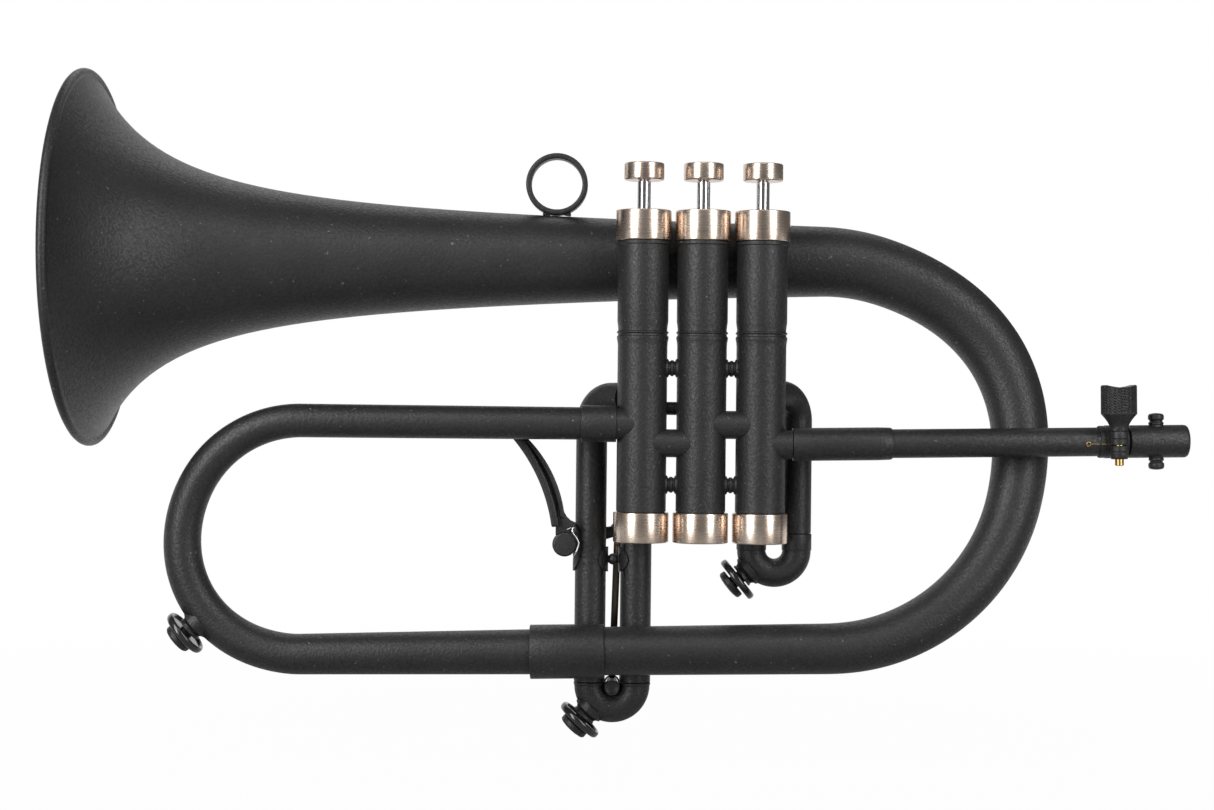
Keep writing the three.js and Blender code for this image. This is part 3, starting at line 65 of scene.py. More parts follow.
# The photograph was taken square to the valves with a short telephoto lens, a little less
# than a metre away, and the horn lies turned by half a degree in it.
frame_width = 1214
sensor_width = 36
focal_pixels = 2080
camera_place = Vector((-37.03, -816, 53.6)) * mm
camera_roll = math.radians(0.6)
bpy.ops.object.camera_add(location=camera_place, rotation=(math.radians(90), -camera_roll, 0))
camera = bpy.context.object
camera.data.sensor_width = sensor_width
camera.data.lens = focal_pixels / frame_width * sensor_width
camera.data.clip_start = 0.01
bpy.context.scene.camera = camera

# White studio: a pale floor and a white backdrop, in a dark room. A dull black coat mirrors
# the room, so its sides take the backdrop and its front takes the two tall soft boxes, left
# and right of the camera. A flat one lights from above and one from behind. A box's place is
# its direction from the horn, in degrees to the right of the camera and above the floor.
surround_light = 0.14
floor_tone = (0.35, 0.35, 0.35, 1)
floor_drop = 10.5 * mm  # below the horn at rest, so that its third slide can come down
floor_middle = (-0.03, 0.03)
floor_radius = 3
floor_fade = (0.2, 0.6)
floor_white = 0.98  # how far the floor is already white close to the horn
backdrop_front = (0, -2)
backdrop_fade = (1.95, 2.3)
room_radius = 2.6
room_opening = 1.8
room_heading = (-0.35, 0.94, 0)  # the backdrop reaches round to the bell's side
room_glow = (0.16, 0.16, 0.16, 1)
box_middle = Vector((0, 0, 0.05))
box_distance = 0.9
soft_boxes = {
    "left_box": {"place": (-42, 20), "size": (0.36, 0.9), "power": 7.0},
    "right_box": {"place": (42, 20), "size": (0.32, 0.9), "power": 4.7},
    "top_box": {"place": (0, 45), "size": (0.4, 0.15), "power": 0.7},
    "back_box": {"place": (180, 55), "size": (0.7, 0.25), "power": 1.1},
}


class Value:
    """A socket of a finish that can be used in sums."""

    def __init__(self, finish, socket):
        self.finish = finish
        self.socket = socket

    def __add__(self, other):
        return self.finish.maths("ADD", self, other)

    def __radd__(self, other):
        return self.finish.maths("ADD", other, self)

    def __rsub__(self, other):
        return self.finish.maths("SUBTRACT", other, self)

    def __mul__(self, other):
        return self.finish.maths("MULTIPLY", self, other)


class Finish:
    """A material that is put together node by node."""

    def __init__(self, name, **fixed):
        self.material = bpy.data.materials.new(name)
        self.material.use_nodes = True
        self.tree = self.material.node_tree
        self.shader = self.tree.nodes["Principled BSDF"]
        for socket, number in fixed.items():
            self.shader.inputs[socket.replace("_", " ")].default_value = number

    def node(self, kind, settings=None, inputs=None, output=0):
        node = self.tree.nodes.new(kind)
        for key, setting in (settings or {}).items():
            setattr(node, key, setting)
        for key, value in (inputs or {}).items():
            if isinstance(value, Value):
                self.tree.links.new(value.socket, node.inputs[key])
            else:
                node.inputs[key].default_value = value
        return Value(self, node.outputs[output])

    def maths(self, operation, first, second):
        return self.node("ShaderNodeMath", {"operation": operation}, {0: first, 1: second})

    def place(self, stretch=(1, 1, 1)):
        coordinates = self.node("ShaderNodeTexCoord", output="Object")
        if stretch == (1, 1, 1):
            return coordinates
        return self.node("ShaderNodeMapping", inputs={"Vector": coordinates, "Scale": stretch})

    def noise(self, scale, stretch=(1, 1, 1), detail=2.0):
        settings = {"Vector": self.place(stretch), "Scale": scale, "Detail": detail}
        return self.node("ShaderNodeTexNoise", inputs=settings)

    def mask(self, value, low, high, least=0):
        """From least, below low, to 1 above high."""
        limits = {"Value": value, "From Min": low, "From Max": high, "To Min": least}
        return self.node("ShaderNodeMapRange", inputs=limits)

    def mix(self, share, first, second):
        sockets = {0: share, 6: first, 7: second}
        return self.node("ShaderNodeMix", {"data_type": "RGBA"}, sockets, output=2)

    def feed(self, socket, value):
        self.tree.links.new(value.socket, self.shader.inputs[socket])

    def bump(self, height, distance, strength):
        settings = {"Height": height, "Distance": distance, "Strength": strength}
        self.feed("Normal", self.node("ShaderNodeBump", inputs=settings))


def add(shape, name, scale=(1, 1, 1), place=(0, 0, 0), **settings):
    """Adds one of the ready shapes as a piece whose size and place are in its own points."""
    bpy.ops.object.select_all(action="DESELECT")
    shape(location=place, **settings)
    piece = bpy.context.object
    piece.name = piece.data.name = name
    piece.scale = scale
    bpy.ops.object.transform_apply(location=True, rotation=True, scale=True)
    return piece


def pick(piece):
    bpy.ops.object.select_all(action="DESELECT")
    piece.select_set(True)
    bpy.context.view_layer.objects.active = piece


def edited(piece, *steps):
    """Runs steps in edit mode, each an operator with its settings, on the whole piece."""
    pick(piece)
    bpy.ops.object.mode_set(mode="EDIT")
    bpy.ops.mesh.select_all(action="SELECT")
    for operator, settings in steps:
        operator(**settings)
    bpy.ops.object.mode_set(mode="OBJECT")
    return piece


def studio_world():
    world = bpy.data.worlds.new("white studio")
    world.use_nodes = True
    tree = world.node_tree
    background = tree.nodes["Background"]
    path = tree.nodes.new("ShaderNodeLightPath")
    seen = path.outputs["Is Camera Ray"]
    for ray in ("Is Glossy Ray", "Is Transmission Ray"):
        either = tree.nodes.new("ShaderNodeMath")
        either.operation = "MAXIMUM"
        tree.links.new(seen, either.inputs[0])
        tree.links.new(path.outputs[ray], either.inputs[1])
        seen = either.outputs[0]
    strength = tree.nodes.new("ShaderNodeMapRange")
    strength.inputs["To Min"].default_value = surround_light
    tree.links.new(seen, strength.inputs["Value"])
    tree.links.new(strength.outputs["Result"], background.inputs["Strength"])
    background.inputs["Color"].default_value = (1, 1, 1, 1)
    bpy.context.scene.world = world


def studio_floor(height):
    """A matt disc that goes over into the white backdrop some way from the horn. The camera
    sees it white; the coat mirrors it white only towards the backdrop."""
    circle = {"vertices": 96, "radius": floor_radius, "fill_type": "NGON"}
    place = (*floor_middle, height)
    floor = add(bpy.ops.mesh.primitive_circle_add, "studio_floor", place=place, **circle)
    pale = Finish("pale floor", Base_Color=floor_tone, Roughness=0.8)

    def white_to(ray, middle, fade, least):
        places = {0: pale.place(), 1: (*middle, height)}
        away = pale.node("ShaderNodeVectorMath", {"operation": "DISTANCE"}, places, "Value")
        return pale.mask(away, *fade, least) * pale.node("ShaderNodeLightPath", output=ray)

    seen = pale.maths(
        "MAXIMUM",
        white_to("Is Camera Ray", floor_middle, floor_fade, floor_white),
        white_to("Is Glossy Ray", backdrop_front, backdrop_fade, 0),
    )
    matt = Value(pale, pale.shader.outputs["BSDF"])
    shaders = {0: seen, 1: matt, 2: pale.node("ShaderNodeEmission")}
    blend = pale.node("ShaderNodeMixShader", inputs=shaders)
    pale.tree.links.new(blend.socket, pale.tree.nodes["Material Output"].inputs["Surface"])
    floor.data.materials.append(pale.material)


def dark_room():
    """A ball round the set, open towards the backdrop, which only reflections see."""
    ball = {"segments": 32, "ring_count": 16, "rotation": (math.radians(90), 0, 0)}
    room = add(bpy.ops.mesh.primitive_uv_sphere_add, "studio_room", radius=room_radius, **ball)
    cut = {"plane_co": Vector(room_heading) * room_opening, "plane_no": room_heading}
    edited(room, (bpy.ops.mesh.bisect, {"clear_outer": True, **cut}))
    edited(room, (bpy.ops.mesh.flip_normals, {}))
    wall = {"Base_Color": (0, 0, 0, 1), "Specular_IOR_Level": 0, "Emission_Strength": 1}
    room.data.materials.append(Finish("dark room", Emission_Color=room_glow, **wall).material)
    room.visible_camera = room.visible_diffuse = room.visible_shadow = False
    room.visible_transmission = room.visible_volume_scatter = False


def soft_box(name, place, size, power):
    across, up = (math.radians(angle) for angle in place)
    level = math.cos(up)
    towards = Vector((math.sin(across) * level, -math.cos(across) * level, math.sin(up)))
    bpy.ops.object.light_add(type="AREA", location=box_middle + towards * box_distance)
    lamp = bpy.context.object
    lamp.name = name
    lamp.rotation_euler = towards.to_track_quat("Z", "Y").to_euler()
    lamp.data.shape = "RECTANGLE"
    lamp.data.size, lamp.data.size_y = size
    lamp.data.energy = power
    lamp.visible_camera = False


studio_world()
studio_floor(cad_box[0][2] - floor_drop)
dark_room()
for box_name, box in soft_boxes.items():
    soft_box(box_name, **box)
bpy.context.scene.view_settings.view_transform = "Standard"


# Black powder coat. The brass under it is blasted and coated, which leaves a fine even grain and a
# dull sheen. The few paler specks in its colour are painted glints of light.
coat_black = (0.005, 0.005, 0.0051, 1)
coat_worn = (0.022, 0.022, 0.0223, 1)
# pale colour of the painted glints, tiny highlights painted into the coat
coat_glint = (0.16, 0.16, 0.16, 1)
coat_grain = 900  # per metre
coat_mottle = 55
coat_glint_grain = 620


def black_coat():
    finish = Finish("black powder coat", Specular_IOR_Level=0.5)
    mottle = finish.mask(finish.noise(coat_mottle, detail=4.0), 0.3, 0.7)
    grain = finish.mask(finish.noise(coat_grain, detail=3.0), 0.34, 0.66)
    # painted glints: scattered pale specks in the colour that stand in for tiny highlights
    painted_glints = finish.mask(finish.noise(coat_glint_grain), 0.715, 0.745)
    tone = finish.mix(mottle * 0.3 + grain * 0.7, coat_black, coat_worn)
    finish.feed("Base Color", finish.mix(painted_glints * 0.6, tone, coat_glint))
    finish.feed("Roughness", 0.54 - grain * 0.14)
    finish.bump(grain, 0.08 * mm, 0.8)
    return finish.material


coat = black_coat()


# Bell: one sheet of brass spun to the flare, with the rim rolled over a wire. It is coated
# inside and out. Its radius falls off with the square of the distance from the rim.
rim_place = Vector((-249.1, 27.8, 111.0)) * mm
bell_tail = Vector((-0.15, 27.8, 112.6)) * mm
rim_radius = 76.2 * mm
throat_radius = 12.33 * mm
throat_taper = 0.0195
taper_length = 297.5 * mm
flare_reach = 59 * mm
flare_start = 1.8 * mm  # from the rim to where the curve is measured from
rim_bead = 2 * mm
bell_wall = 0.8 * mm
bell_steps = 44
bell_axis = (bell_tail - rim_place).normalized()
bell_length = (bell_tail - rim_place).length
pole = 0.01 * mm  # a ring this small closes to a point
fine = pole / 10


def bell_radius(from_rim):
    flare = rim_radius - throat_radius - throat_taper * taper_length
    along = from_rim - flare_start
    fall = flare_reach / (flare_reach + along)
    return throat_radius + throat_taper * (taper_length - along) + flare * fall * fall


def tidy_mesh(piece, threshold=2 * pole):
    """Closes seams and poles and turns the faces outwards."""
    closed = (bpy.ops.mesh.remove_doubles, {"threshold": threshold})
    return edited(piece, closed, (bpy.ops.mesh.normals_make_consistent, {"inside": False}))


def turned(name, outline, sides=72, unit=mm):
    """A turned piece about Z: a ring is extruded and resized along the outline of (radius,
    height). An outline that starts and ends on the axis is solid; others close on themselves."""
    rings = [(max(r * unit, pole), h * unit) for r, h in outline]
    if outline[0][0] > 0:
        rings.append(rings[0])
    radius, height = rings[0]
    circle = {"place": (0, 0, height), "vertices": sides, "radius": radius}
    piece = add(bpy.ops.mesh.primitive_circle_add, name, **circle)
    bpy.ops.object.mode_set(mode="EDIT")
    bpy.ops.mesh.select_all(action="SELECT")
    for next_radius, next_height in rings[1:]:
        rise = (0, 0, next_height - height)
        bpy.ops.mesh.extrude_edges_move(TRANSFORM_OT_translate={"value": rise})
        share = next_radius / radius
        bpy.ops.transform.resize(value=(share, share, 1), center_override=(0, 0, next_height))
        radius, height = next_radius, next_height
    bpy.ops.object.mode_set(mode="OBJECT")
    return tidy_mesh(piece)


def arc(centre, radius, start, end, steps):
    """Points on an arc in a piece's outline, with its angles in degrees."""
    angles = [math.radians(start + (end - start) * i / steps) for i in range(steps + 1)]
    return [(centre[0] + radius * math.cos(a), centre[1] + radius * math.sin(a)) for a in angles]


def lay(piece, place, heading=z_axis):
    """Puts a piece that was made about Z where it belongs, and leaves its object at the origin."""
    pick(piece)
    towards = z_axis.rotation_difference(Vector(heading).normalized()).to_matrix().to_4x4()
    piece.matrix_world = Matrix.Translation(place) @ towards
    bpy.ops.object.transform_apply(location=True, rotation=True, scale=True)
    return piece


def finished(piece, body, material, slot_name, *replaced, smooth=38):
    """Smooths a piece, gives it its finish and says what it stands for."""
    pick(piece)
    bpy.ops.object.shade_smooth_by_angle(angle=math.radians(smooth))
    piece.data.materials.clear()
    piece.data.materials.append(material)
    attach(piece, body)
    if replaced:
        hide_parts(*replaced)
    return piece


def coated(piece, *replaced, body="horn", smooth=38):
    return finished(piece, body, coat, "black_coat", *replaced, smooth=smooth)


def spun_bell():
    first = 1.8 * rim_bead
    reach = bell_length - first
    places = [first + reach * (i / bell_steps) ** 2 for i in range(bell_steps + 1)]
    outside = [(bell_radius(x), x) for x in places]
    inside = [(radius - bell_wall, x) for radius, x in reversed(outside)]
    bead = arc((rim_radius - rim_bead, rim_bead), rim_bead, 215, 485, 14)
    return turned("bell_flare", [*outside, *inside, *bead], sides=144, unit=1)


coated(lay(spun_bell(), rim_place, bell_axis), "bell")


# Finger ring: a brass ring, turned with round edges and brazed on top of the bell, with a
# thin foot that is curved to the bell. Both are coated with it.
ring_from_rim = 191.1 * mm
ring_radius = 12.5 * mm
ring_thickness = 2.2 * mm
ring_width = 8 * mm
seam = 0.3 * mm  # between pieces that are brazed or screwed together


def finger_ring():
    edge = 0.8 * mm
    outer, inner = ring_radius - edge, ring_radius - ring_thickness + edge
    half = ring_width / 2 - edge
    corners = [(outer, half), (inner, half), (inner, -half), (outer, -half)]
    quarters = [arc(corner, edge, 90 * i, 90 * i + 90, 5) for i, corner in enumerate(corners)]
    return turned("finger_ring_hoop", sum(quarters, []), unit=1)


def modified(piece, kind, **settings):
    """Adds a modifier to a piece and applies it."""
    pick(piece)
    bpy.ops.object.modifier_add(type=kind)
    modifier = piece.modifiers[-1]
    for key, setting in settings.items():
        setattr(modifier, key, setting)
    bpy.ops.object.modifier_apply(modifier=modifier.name)
    return piece


def ring_foot(seat):
    """A short pad that follows the bell, swept round the bell's axis and thickened."""
    half_length, width, thickness, flare = 5.7 * mm, 6 * mm, 1.1 * mm, 1.5 * mm
    size, place = (2 * half_length, width, 1), (0, 0, seat + thickness / 2 + seam)
    foot = add(bpy.ops.mesh.primitive_plane_add, "finger_ring_foot", size, place, size=1)
    edited(foot, (bpy.ops.mesh.subdivide, {"number_cuts": 9}))
    for vertex in foot.data.vertices:
        drop = seat - math.sqrt(seat * seat - vertex.co.y * vertex.co.y)
        vertex.co.z += flare * max(0, 1 - abs(vertex.co.x) / half_length) ** 2 - drop
    modified(foot, "SOLIDIFY", thickness=thickness, offset=0)
    return modified(foot, "BEVEL", width=0.3 * mm, segments=2)


ring_seat = bell_radius(ring_from_rim)
ring_base = rim_place + bell_axis * ring_from_rim
bell_up = Vector((-bell_axis.z, 0, bell_axis.x))
ring_centre = ring_base + bell_up * (ring_seat + seam + ring_radius)
coated(lay(finger_ring(), ring_centre, y_axis), "finger_ring")
coated(lay(ring_foot(ring_seat), ring_base, bell_up))


# Main bow: a tapering tube bent through half a turn, from the bell's tail to the bottom of
# the horn, leaning towards the viewer as it comes down.
bow_start = Vector((0.15, 27.8, 112.6)) * mm
bow_turn_start = Vector((49.2, 27.8, 112.6)) * mm
bow_turn_end = Vector((49.2, 0.3, -41.2)) * mm
loop_turn_end = Vector((-156.3, 0.3, -45.4)) * mm
bottom_joint_x = -51.7 * mm
bow_radii = [r * mm for r in (15.5, 14.2, 11.0, 9.9, 9.4)]
bow_swell = (2.6 * mm, 0.34, 0.24)  # how far the bend leaves the round, and where
tube_sides = 48
bend_steps = 12


def as_round(curve, name, radius, sides, steps, threshold):
    """Makes a curve a closed round tube or wire, as a mesh."""
    curve.data.dimensions = "3D"
    curve.data.twist_mode = "MINIMUM"
    curve.data.resolution_u = steps
    curve.data.bevel_depth = radius
    curve.data.bevel_resolution = sides // 2 - 2
    curve.data.use_fill_caps = True
    bpy.ops.object.convert(target="MESH")
    piece = bpy.context.object
    piece.name = piece.data.name = name
    return tidy_mesh(piece, threshold)


def piped(name, knots):
    """A round tube along a curve of (place, heading, reach back, reach ahead, radius)."""
    curve = add(bpy.ops.curve.primitive_bezier_curve_add, name)
    spline = curve.data.splines[0]
    spline.bezier_points.add(len(knots) - 2)
    for point, (place, heading, back, ahead, radius) in zip(spline.bezier_points, knots):
        point.handle_left_type = point.handle_right_type = "FREE"
        point.co = place
        point.handle_left = place - heading * back
        point.handle_right = place + heading * ahead
        point.radius = radius / mm
    return as_round(curve, name, mm, tube_sides, 10, 2 * pole)


def route(start, heading, radius, *moves):
    """Knots for a tube that is laid out like pipework. A move is a straight (length, radius)
    or a bend (towards, angle, bend radius, tube radius)."""
    heading = Vector(heading).normalized()
    knots = [[Vector(start), heading, 0, 0, radius]]
    for move in moves:
        place, heading = knots[-1][0], knots[-1][1]
        if len(move) == 2:
            length, new_radius = move
            knots[-1][3] = length / 3
            knots.append([place + heading * length, heading, length / 3, 0, new_radius])
            continue
        towards, angle, bend_radius, new_radius = move
        first_radius = knots[-1][4]
        axis = heading.cross(Vector(towards)).normalized()
        centre = place + axis.cross(heading) * bend_radius
        parts = max(1, round(angle / math.radians(30)))
        reach = 4 / 3 * math.tan(angle / parts / 4) * bend_radius
        for part in range(1, parts + 1):
            share = part / parts
            turn = Matrix.Rotation(angle * share, 3, axis)
            knots[-1][3] = reach
            here = centre + turn @ (place - centre)
            tube_radius = first_radius + (new_radius - first_radius) * share
            knots.append([here, turn @ heading, reach, 0, tube_radius])
    return knots


def bottom_line(x):
    slope = (bow_turn_end.z - loop_turn_end.z) / (bow_turn_end.x - loop_turn_end.x)
    return Vector((x, bow_turn_end.y, bow_turn_end.z + (x - bow_turn_end.x) * slope))


def swell_at(swell, share):
    """How far a bend by hand swells out of the round, at a share of the bend."""
    rise, place, reach = swell
    off = min(abs(share - place) / reach, 1)
    return rise * math.cos(off * math.pi / 2) ** 2


def hairpin(name, start, turn_start, turn_end, end, radii, swell):
    """Two straights and a half turn between them."""
    first, second, third, fourth, fifth = radii
    centre = (turn_start + turn_end) / 2
    spoke = turn_start - centre
    bend = spoke.length
    heading = (turn_start - start).normalized()
    run = (turn_start - start).length / 3
    reach = math.pi * bend / bend_steps / 3

    def at(share):
        across, ahead = math.cos(math.pi * share), math.sin(math.pi * share)
        grown = 1 + swell_at(swell, share) / bend
        return centre + (spoke * across + heading * bend * ahead) * grown

    knots = [[start, heading, 0, run, first]]
    for i in range(bend_steps + 1):
        share = i / bend_steps
        half = 2 * share % 1 if share < 1 else 1
        low, high = (second, third) if share < 0.5 else (third, fourth)
        towards = (at(share + 0.001) - at(share - 0.001)).normalized()
        knots.append([at(share), towards, reach, reach, low + (high - low) * half])
    knots[1][2] = run
    last = (end - turn_end).normalized()
    run = (end - turn_end).length / 3
    knots[-1][1], knots[-1][3] = last, run
    knots.append([end, last, run, 0, fifth])
    return piped(name, knots)


bow_end = bottom_line(bottom_joint_x + seam / 2)
bow_bend = bow_turn_start, bow_turn_end
coated(hairpin("bow_tube", bow_start, *bow_bend, bow_end, bow_radii, bow_swell), "main_bow")


# Branch loop: the same kind of tube on the other side, from the third valve round to the
# bottom of the horn. Its water key is brazed to the outside of the bend.
outlet = Vector((-40, -2.8, 46.3)) * mm
loop_turn_start = Vector((-156.3, -2.8, 46.3)) * mm
loop_radii = [r * mm for r in (6.35, 6.6, 7.25, 7.95, 8.95)]
loop_swell = (1.4 * mm, 0.68, 0.32)
loop_end = bottom_line(bottom_joint_x - seam / 2)
loop_bend = loop_turn_start, loop_turn_end
coated(hairpin("loop_tube", outlet, *loop_bend, loop_end, loop_radii, loop_swell), "branch_loop")


# Water keys: a turned boss on the tube, and a cap on a post. Between them a gloss black
# ring, with a thin web, is pushed towards the tube to let the water out.
key_slopes = {"loop": 40, "first": 39, "third": 48}  # degrees below the line to the bell
gloss_dark = (0.012, 0.012, 0.0125, 1)
gloss_light = (0.02, 0.02, 0.021, 1)


def hazy(name, grain, dark, light, dullness, stretch=(1, 1, 1), detail=3.0, **fixed):
    """A finish whose tone and dullness vary a little together."""
    finish = Finish(name, **fixed)
    haze = finish.noise(grain, stretch, detail)
    finish.feed("Base Color", finish.mix(haze, dark, light))
    least, spread = dullness
    finish.feed("Roughness", least + haze * spread)
    return finish.material


lacquer = {"Coat_Weight": 0.35, "Coat_Roughness": 0.06}
gloss = hazy("gloss black", 130, gloss_dark, gloss_light, (0.12, 0.14), **lacquer)


def key_boss(name, sunk):
    """Boss, post and cap, by their heights above the tube. The foot is sunk in the tube."""
    foot = [(0, -sunk), (6.2, -sunk), (6.2, -0.8), (5.0, -0.1), (4.55, 0.6), (4.6, 1.1)]
    seat = [(4.9, 1.5), (4.9, 1.9), (4.65, 2.1), (2.6, 2.1), (2.6, 6.05), (4.7, 6.05)]
    cap = [(5.9, 7.9), (5.75, 8.3), (5.2, 8.75), (3.4, 9.15), (1.5, 9.28), (0, 9.3)]
    return turned(name, [*foot, *seat, *arc((5.3, 6.65), 0.6, -90, 0, 4), *cap], sides=56)


def key_ring(name):
    middle, half, web, rim = 4, 1.45, 0.5, 0.85
    hoop = arc((8.65, middle), rim, -120, 120, 12)
    outer = [(r, middle + (h - middle) * half / rim) for r, h in hoop]
    lower = [(2.85, middle - web), (7.8, middle - web), (7.85, middle - half * 0.75)]
    upper = [(7.85, middle + half * 0.75), (7.8, middle + web), (2.85, middle + web)]
    return turned(name, [*lower, *outer, *upper], sides=72)


def water_key(name, bend_centre, bend_radius, tube_radius, body):
    slope = math.radians(key_slopes[name])
    out = Vector((-math.cos(slope), 0, -math.sin(slope)))
    place = bend_centre + out * (bend_radius + tube_radius)
    sunk = 0.6 * tube_radius / mm
    coated(lay(key_boss(name + "_key_boss", sunk), place, out), body=body)
    ring = lay(key_ring(name + "_key_ring"), place, out)
    finished(ring, name + "_water_key", gloss, "black_gloss", name + "_water_key_ring")


loop_reach = (loop_turn_start - loop_turn_end).length / 2
loop_reach += swell_at(loop_swell, (90 + key_slopes["loop"]) / 180)
loop_centre = (loop_turn_start + loop_turn_end) / 2
water_key("loop", loop_centre, loop_reach, (loop_radii[2] + loop_radii[3]) / 2, "horn")


# Ferrules: short turned brass sleeves, brazed over the joints of bell, bow and loop. Their
# ends are rounded a little, and they are coated with the tubes.
def outer_side(radius, low, high, edge, below, above):
    """The outside of a turned piece, with its edges rounded in so many steps."""
    lower = arc((radius - edge, low + edge), edge, -90, 0, below)
    return lower + arc((radius - edge, high - edge), edge, 0, 90, above)


def sleeve(name, length, radius, bore):
    """A turned sleeve about Z, from 0 to its length."""
    side = outer_side(radius, 0, length, 0.35 * mm, 3, 3)
    return turned(name, [(bore, 0), *side, (bore, length)], sides=64, unit=1)


bottom_heading = (bow_turn_end - loop_turn_end).normalized()
ferrules = {  # where each starts and points, then its length, radius and bore
    "bell_ferrule": (Vector((-9 * mm, *bow_start.yz)), x_axis, 18, 16.9, 16.1),
    "bow_ferrule": (bottom_line(-66.2 * mm), bottom_heading, 29, 10.6, 9.7),
    "outlet_ferrule": (Vector((-47 * mm, *outlet.yz)), x_axis, 13.7, 7.2, 6.65),
}
for name, (start, heading, *sizes) in ferrules.items():
    piece = sleeve(name + "_sleeve", *(size * mm for size in sizes))
    coated(lay(piece, start, heading), name)


# Saddle: a small brass block between the bell's ferrule and the middle valve, brazed to
# both. Its edges are filed round, and it is coated.
front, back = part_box("bell_ferrule")[0].y, bow_start.y - 15 * mm
size, place = (12 * mm, back - front, 6.8 * mm), (0, (front + back) / 2, bow_start.z)
saddle = add(bpy.ops.mesh.primitive_cube_add, "bell_saddle", size, place, size=1)
coated(modified(saddle, "BEVEL", width=0.8 * mm, segments=3))


# Valve casings: drawn tube in two parts, the upper a little wider, soldered together
# between two thin beads and coated. Caps screw on at both ends.
valve_x = {1: 23.3 * mm, 2: 0.0, 3: -23.3 * mm}
lower_radius = 9.75 * mm


def heights(node):
    """The bottom and top of one of the CAD's solids, in millimetres."""
    return [corner.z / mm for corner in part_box(node)]


def casing(name):
    low, high = heights(name)
    joint, top = 81.2, 117.8
    thread = [(8.7, low), (9.35, low), (9.35, 12.1)]
    lower = [(9.75, 12.2), (9.75, joint - 4.2), (9.83, joint - 3.0), (10.03, joint - 1.9)]
    lower += [(10.15, joint - 1.2), (10.13, joint - 0.6), (9.85, joint - 0.35)]
    bead = [(9.7, joint - 0.1), (9.7, joint + 0.4), *arc((9.77, joint + 1.0), 0.42, -75, 75, 6)]
    upper = [(9.65, joint + 1.6), (9.63, joint + 2.4), (9.77, joint + 3.6), (10, joint + 5.4)]
    upper += [(10, top - 1.5), (10.35, top - 1.1), (10.35, top)]
    end = [(9.35, top), (9.35, high), (8.7, high)]
    return turned(name + "_tube", [*thread, *lower, *bead, *upper, *end], sides=96)


for valve, x in valve_x.items():
    name = f"valve_{valve}_casing"
    coated(lay(casing(name), (x, 0, 0)), name)


# Knuckles: stubs of tube let into the casings, between the valves and to the pipes on both
# sides. Where a stub meets the round casing its outline shows as a round end.
port_y = -3.2 * mm
low_port = 38.9 * mm
high_port = 46.3 * mm


def knuckle(name, start, end, height, radius, *valves):
    """A stub of tube along X, its ends cut to the round of the casings it is let into."""
    outline = [(0, 0), (radius, 0), (radius, end - start), (0, end - start)]
    stub = turned(name, outline, sides=64, unit=1)
    lay(stub, (start, port_y, height), x_axis)
    for valve in valves:
        cylinder = {"vertices": 96, "radius": lower_radius - 0.2 * mm, "depth": 20 * mm}
        place = (valve_x[valve], 0, height)
        bpy.ops.mesh.primitive_cylinder_add(location=place, **cylinder)
        cutter = bpy.context.object
        modified(stub, "BOOLEAN", object=cutter)
        pick(cutter)
        bpy.ops.object.delete()
    return stub


for left, right, height in ((3, 2, low_port), (2, 1, high_port)):
    name = f"crossover_{left}_{right}"
    ends = valve_x[left] + mm, valve_x[right] - mm
    coated(knuckle(name + "_tube", *ends, height, 5.5 * mm, left, right), name)
coated(knuckle("inlet_knuckle", valve_x[1] + mm, 35.4 * mm, low_port, 5.65 * mm, 1))
coated(knuckle("outlet_knuckle", -39.7 * mm, valve_x[3] - mm, high_port, 6.1 * mm, 3))


# Stays: turned brass spools that are brazed between the casings, two to a gap, and a plain
# bar behind the second and third. They are coated with the casings.
stay_heights = {"lower": 22.6 * mm, "upper": 68.3 * mm}
rear_place = (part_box("rear_stay_3_2")[0].x, 5 * mm, 52.5 * mm)


def spool(name, length):
    half = length / 2 / mm
    side = [(3.7, half), (3.7, half - 0.7), (3.5, half - 1.0), (2.75, half - 1.35)]
    side += [(2.75, 0.75), (3.15, 0.45)]
    mirrored = [(r, -h) for r, h in reversed(side)]
    return turned(name, [(0, half), *side, *mirrored, (0, -half)], sides=40)


for left, right in ((3, 2), (2, 1)):
    for which, height in stay_heights.items():
        name = f"{which}_stay_{left}_{right}"
        middle = (valve_x[left] + valve_x[right]) / 2
        gap = valve_x[right] - valve_x[left] - 2 * lower_radius + 1.2 * mm
        coated(lay(spool(name + "_spool", gap), (middle, 0, height), x_axis), name)
rear_bar = [(0, 0), (2.2, 0), (2.6, 0.4), (2.6, 10.2), (2.2, 10.6), (0, 10.6)]
rear_stay = turned("rear_stay_bar", rear_bar, sides=40)
coated(lay(rear_stay, rear_place, x_axis), "rear_stay_3_2")


# Caps and buttons: bronze, turned and then brushed round, with a soft grain and bare bright edges.
# The upright bands of light that the brushing draws out are painted into their colour as darker
# stripes: painted reflection.
bronze_base = (0.74, 0.61, 0.51, 1)
# colour of the darker stripes that are painted reflection bands
bronze_painted_band = (0.57, 0.46, 0.38, 1)
bronze_pale = (0.85, 0.75, 0.66, 1)
cap_radius, cap_edge = 10.9, 0.45


def brushed_bronze_painted_bands():
    finish = Finish("brushed bronze", Metallic=1.0)
    # painted reflection: upright stripes fixed on the piece that stand in for bands of mirrored
    # light
    painted_bands = finish.noise(240, stretch=(1, 1, 0.05), detail=3.0)
    lines = finish.noise(900, stretch=(0.05, 0.05, 4), detail=2.0)
    wear = finish.noise(70, detail=4.0)
    tone = finish.mix(finish.mask(painted_bands, 0.36, 0.64), bronze_painted_band, bronze_base)
    finish.feed("Base Color", finish.mix(finish.mask(wear, 0.52, 0.75) * 0.6, tone, bronze_pale))
    finish.feed("Roughness", 0.2 + lines * 0.12)
    finish.bump(lines, 0.012 * mm, 0.35)
    return finish.material


def top_cap(low, high):
    side = outer_side(cap_radius, low, high, cap_edge, 3, 4)
    recess = [(4.1, high), (3.7, high - 0.3), (2.85, high - 0.3), (2.85, high - 3.5)]
    return [(9.65, low), *side, *recess, (9.65, high - 3.5)]


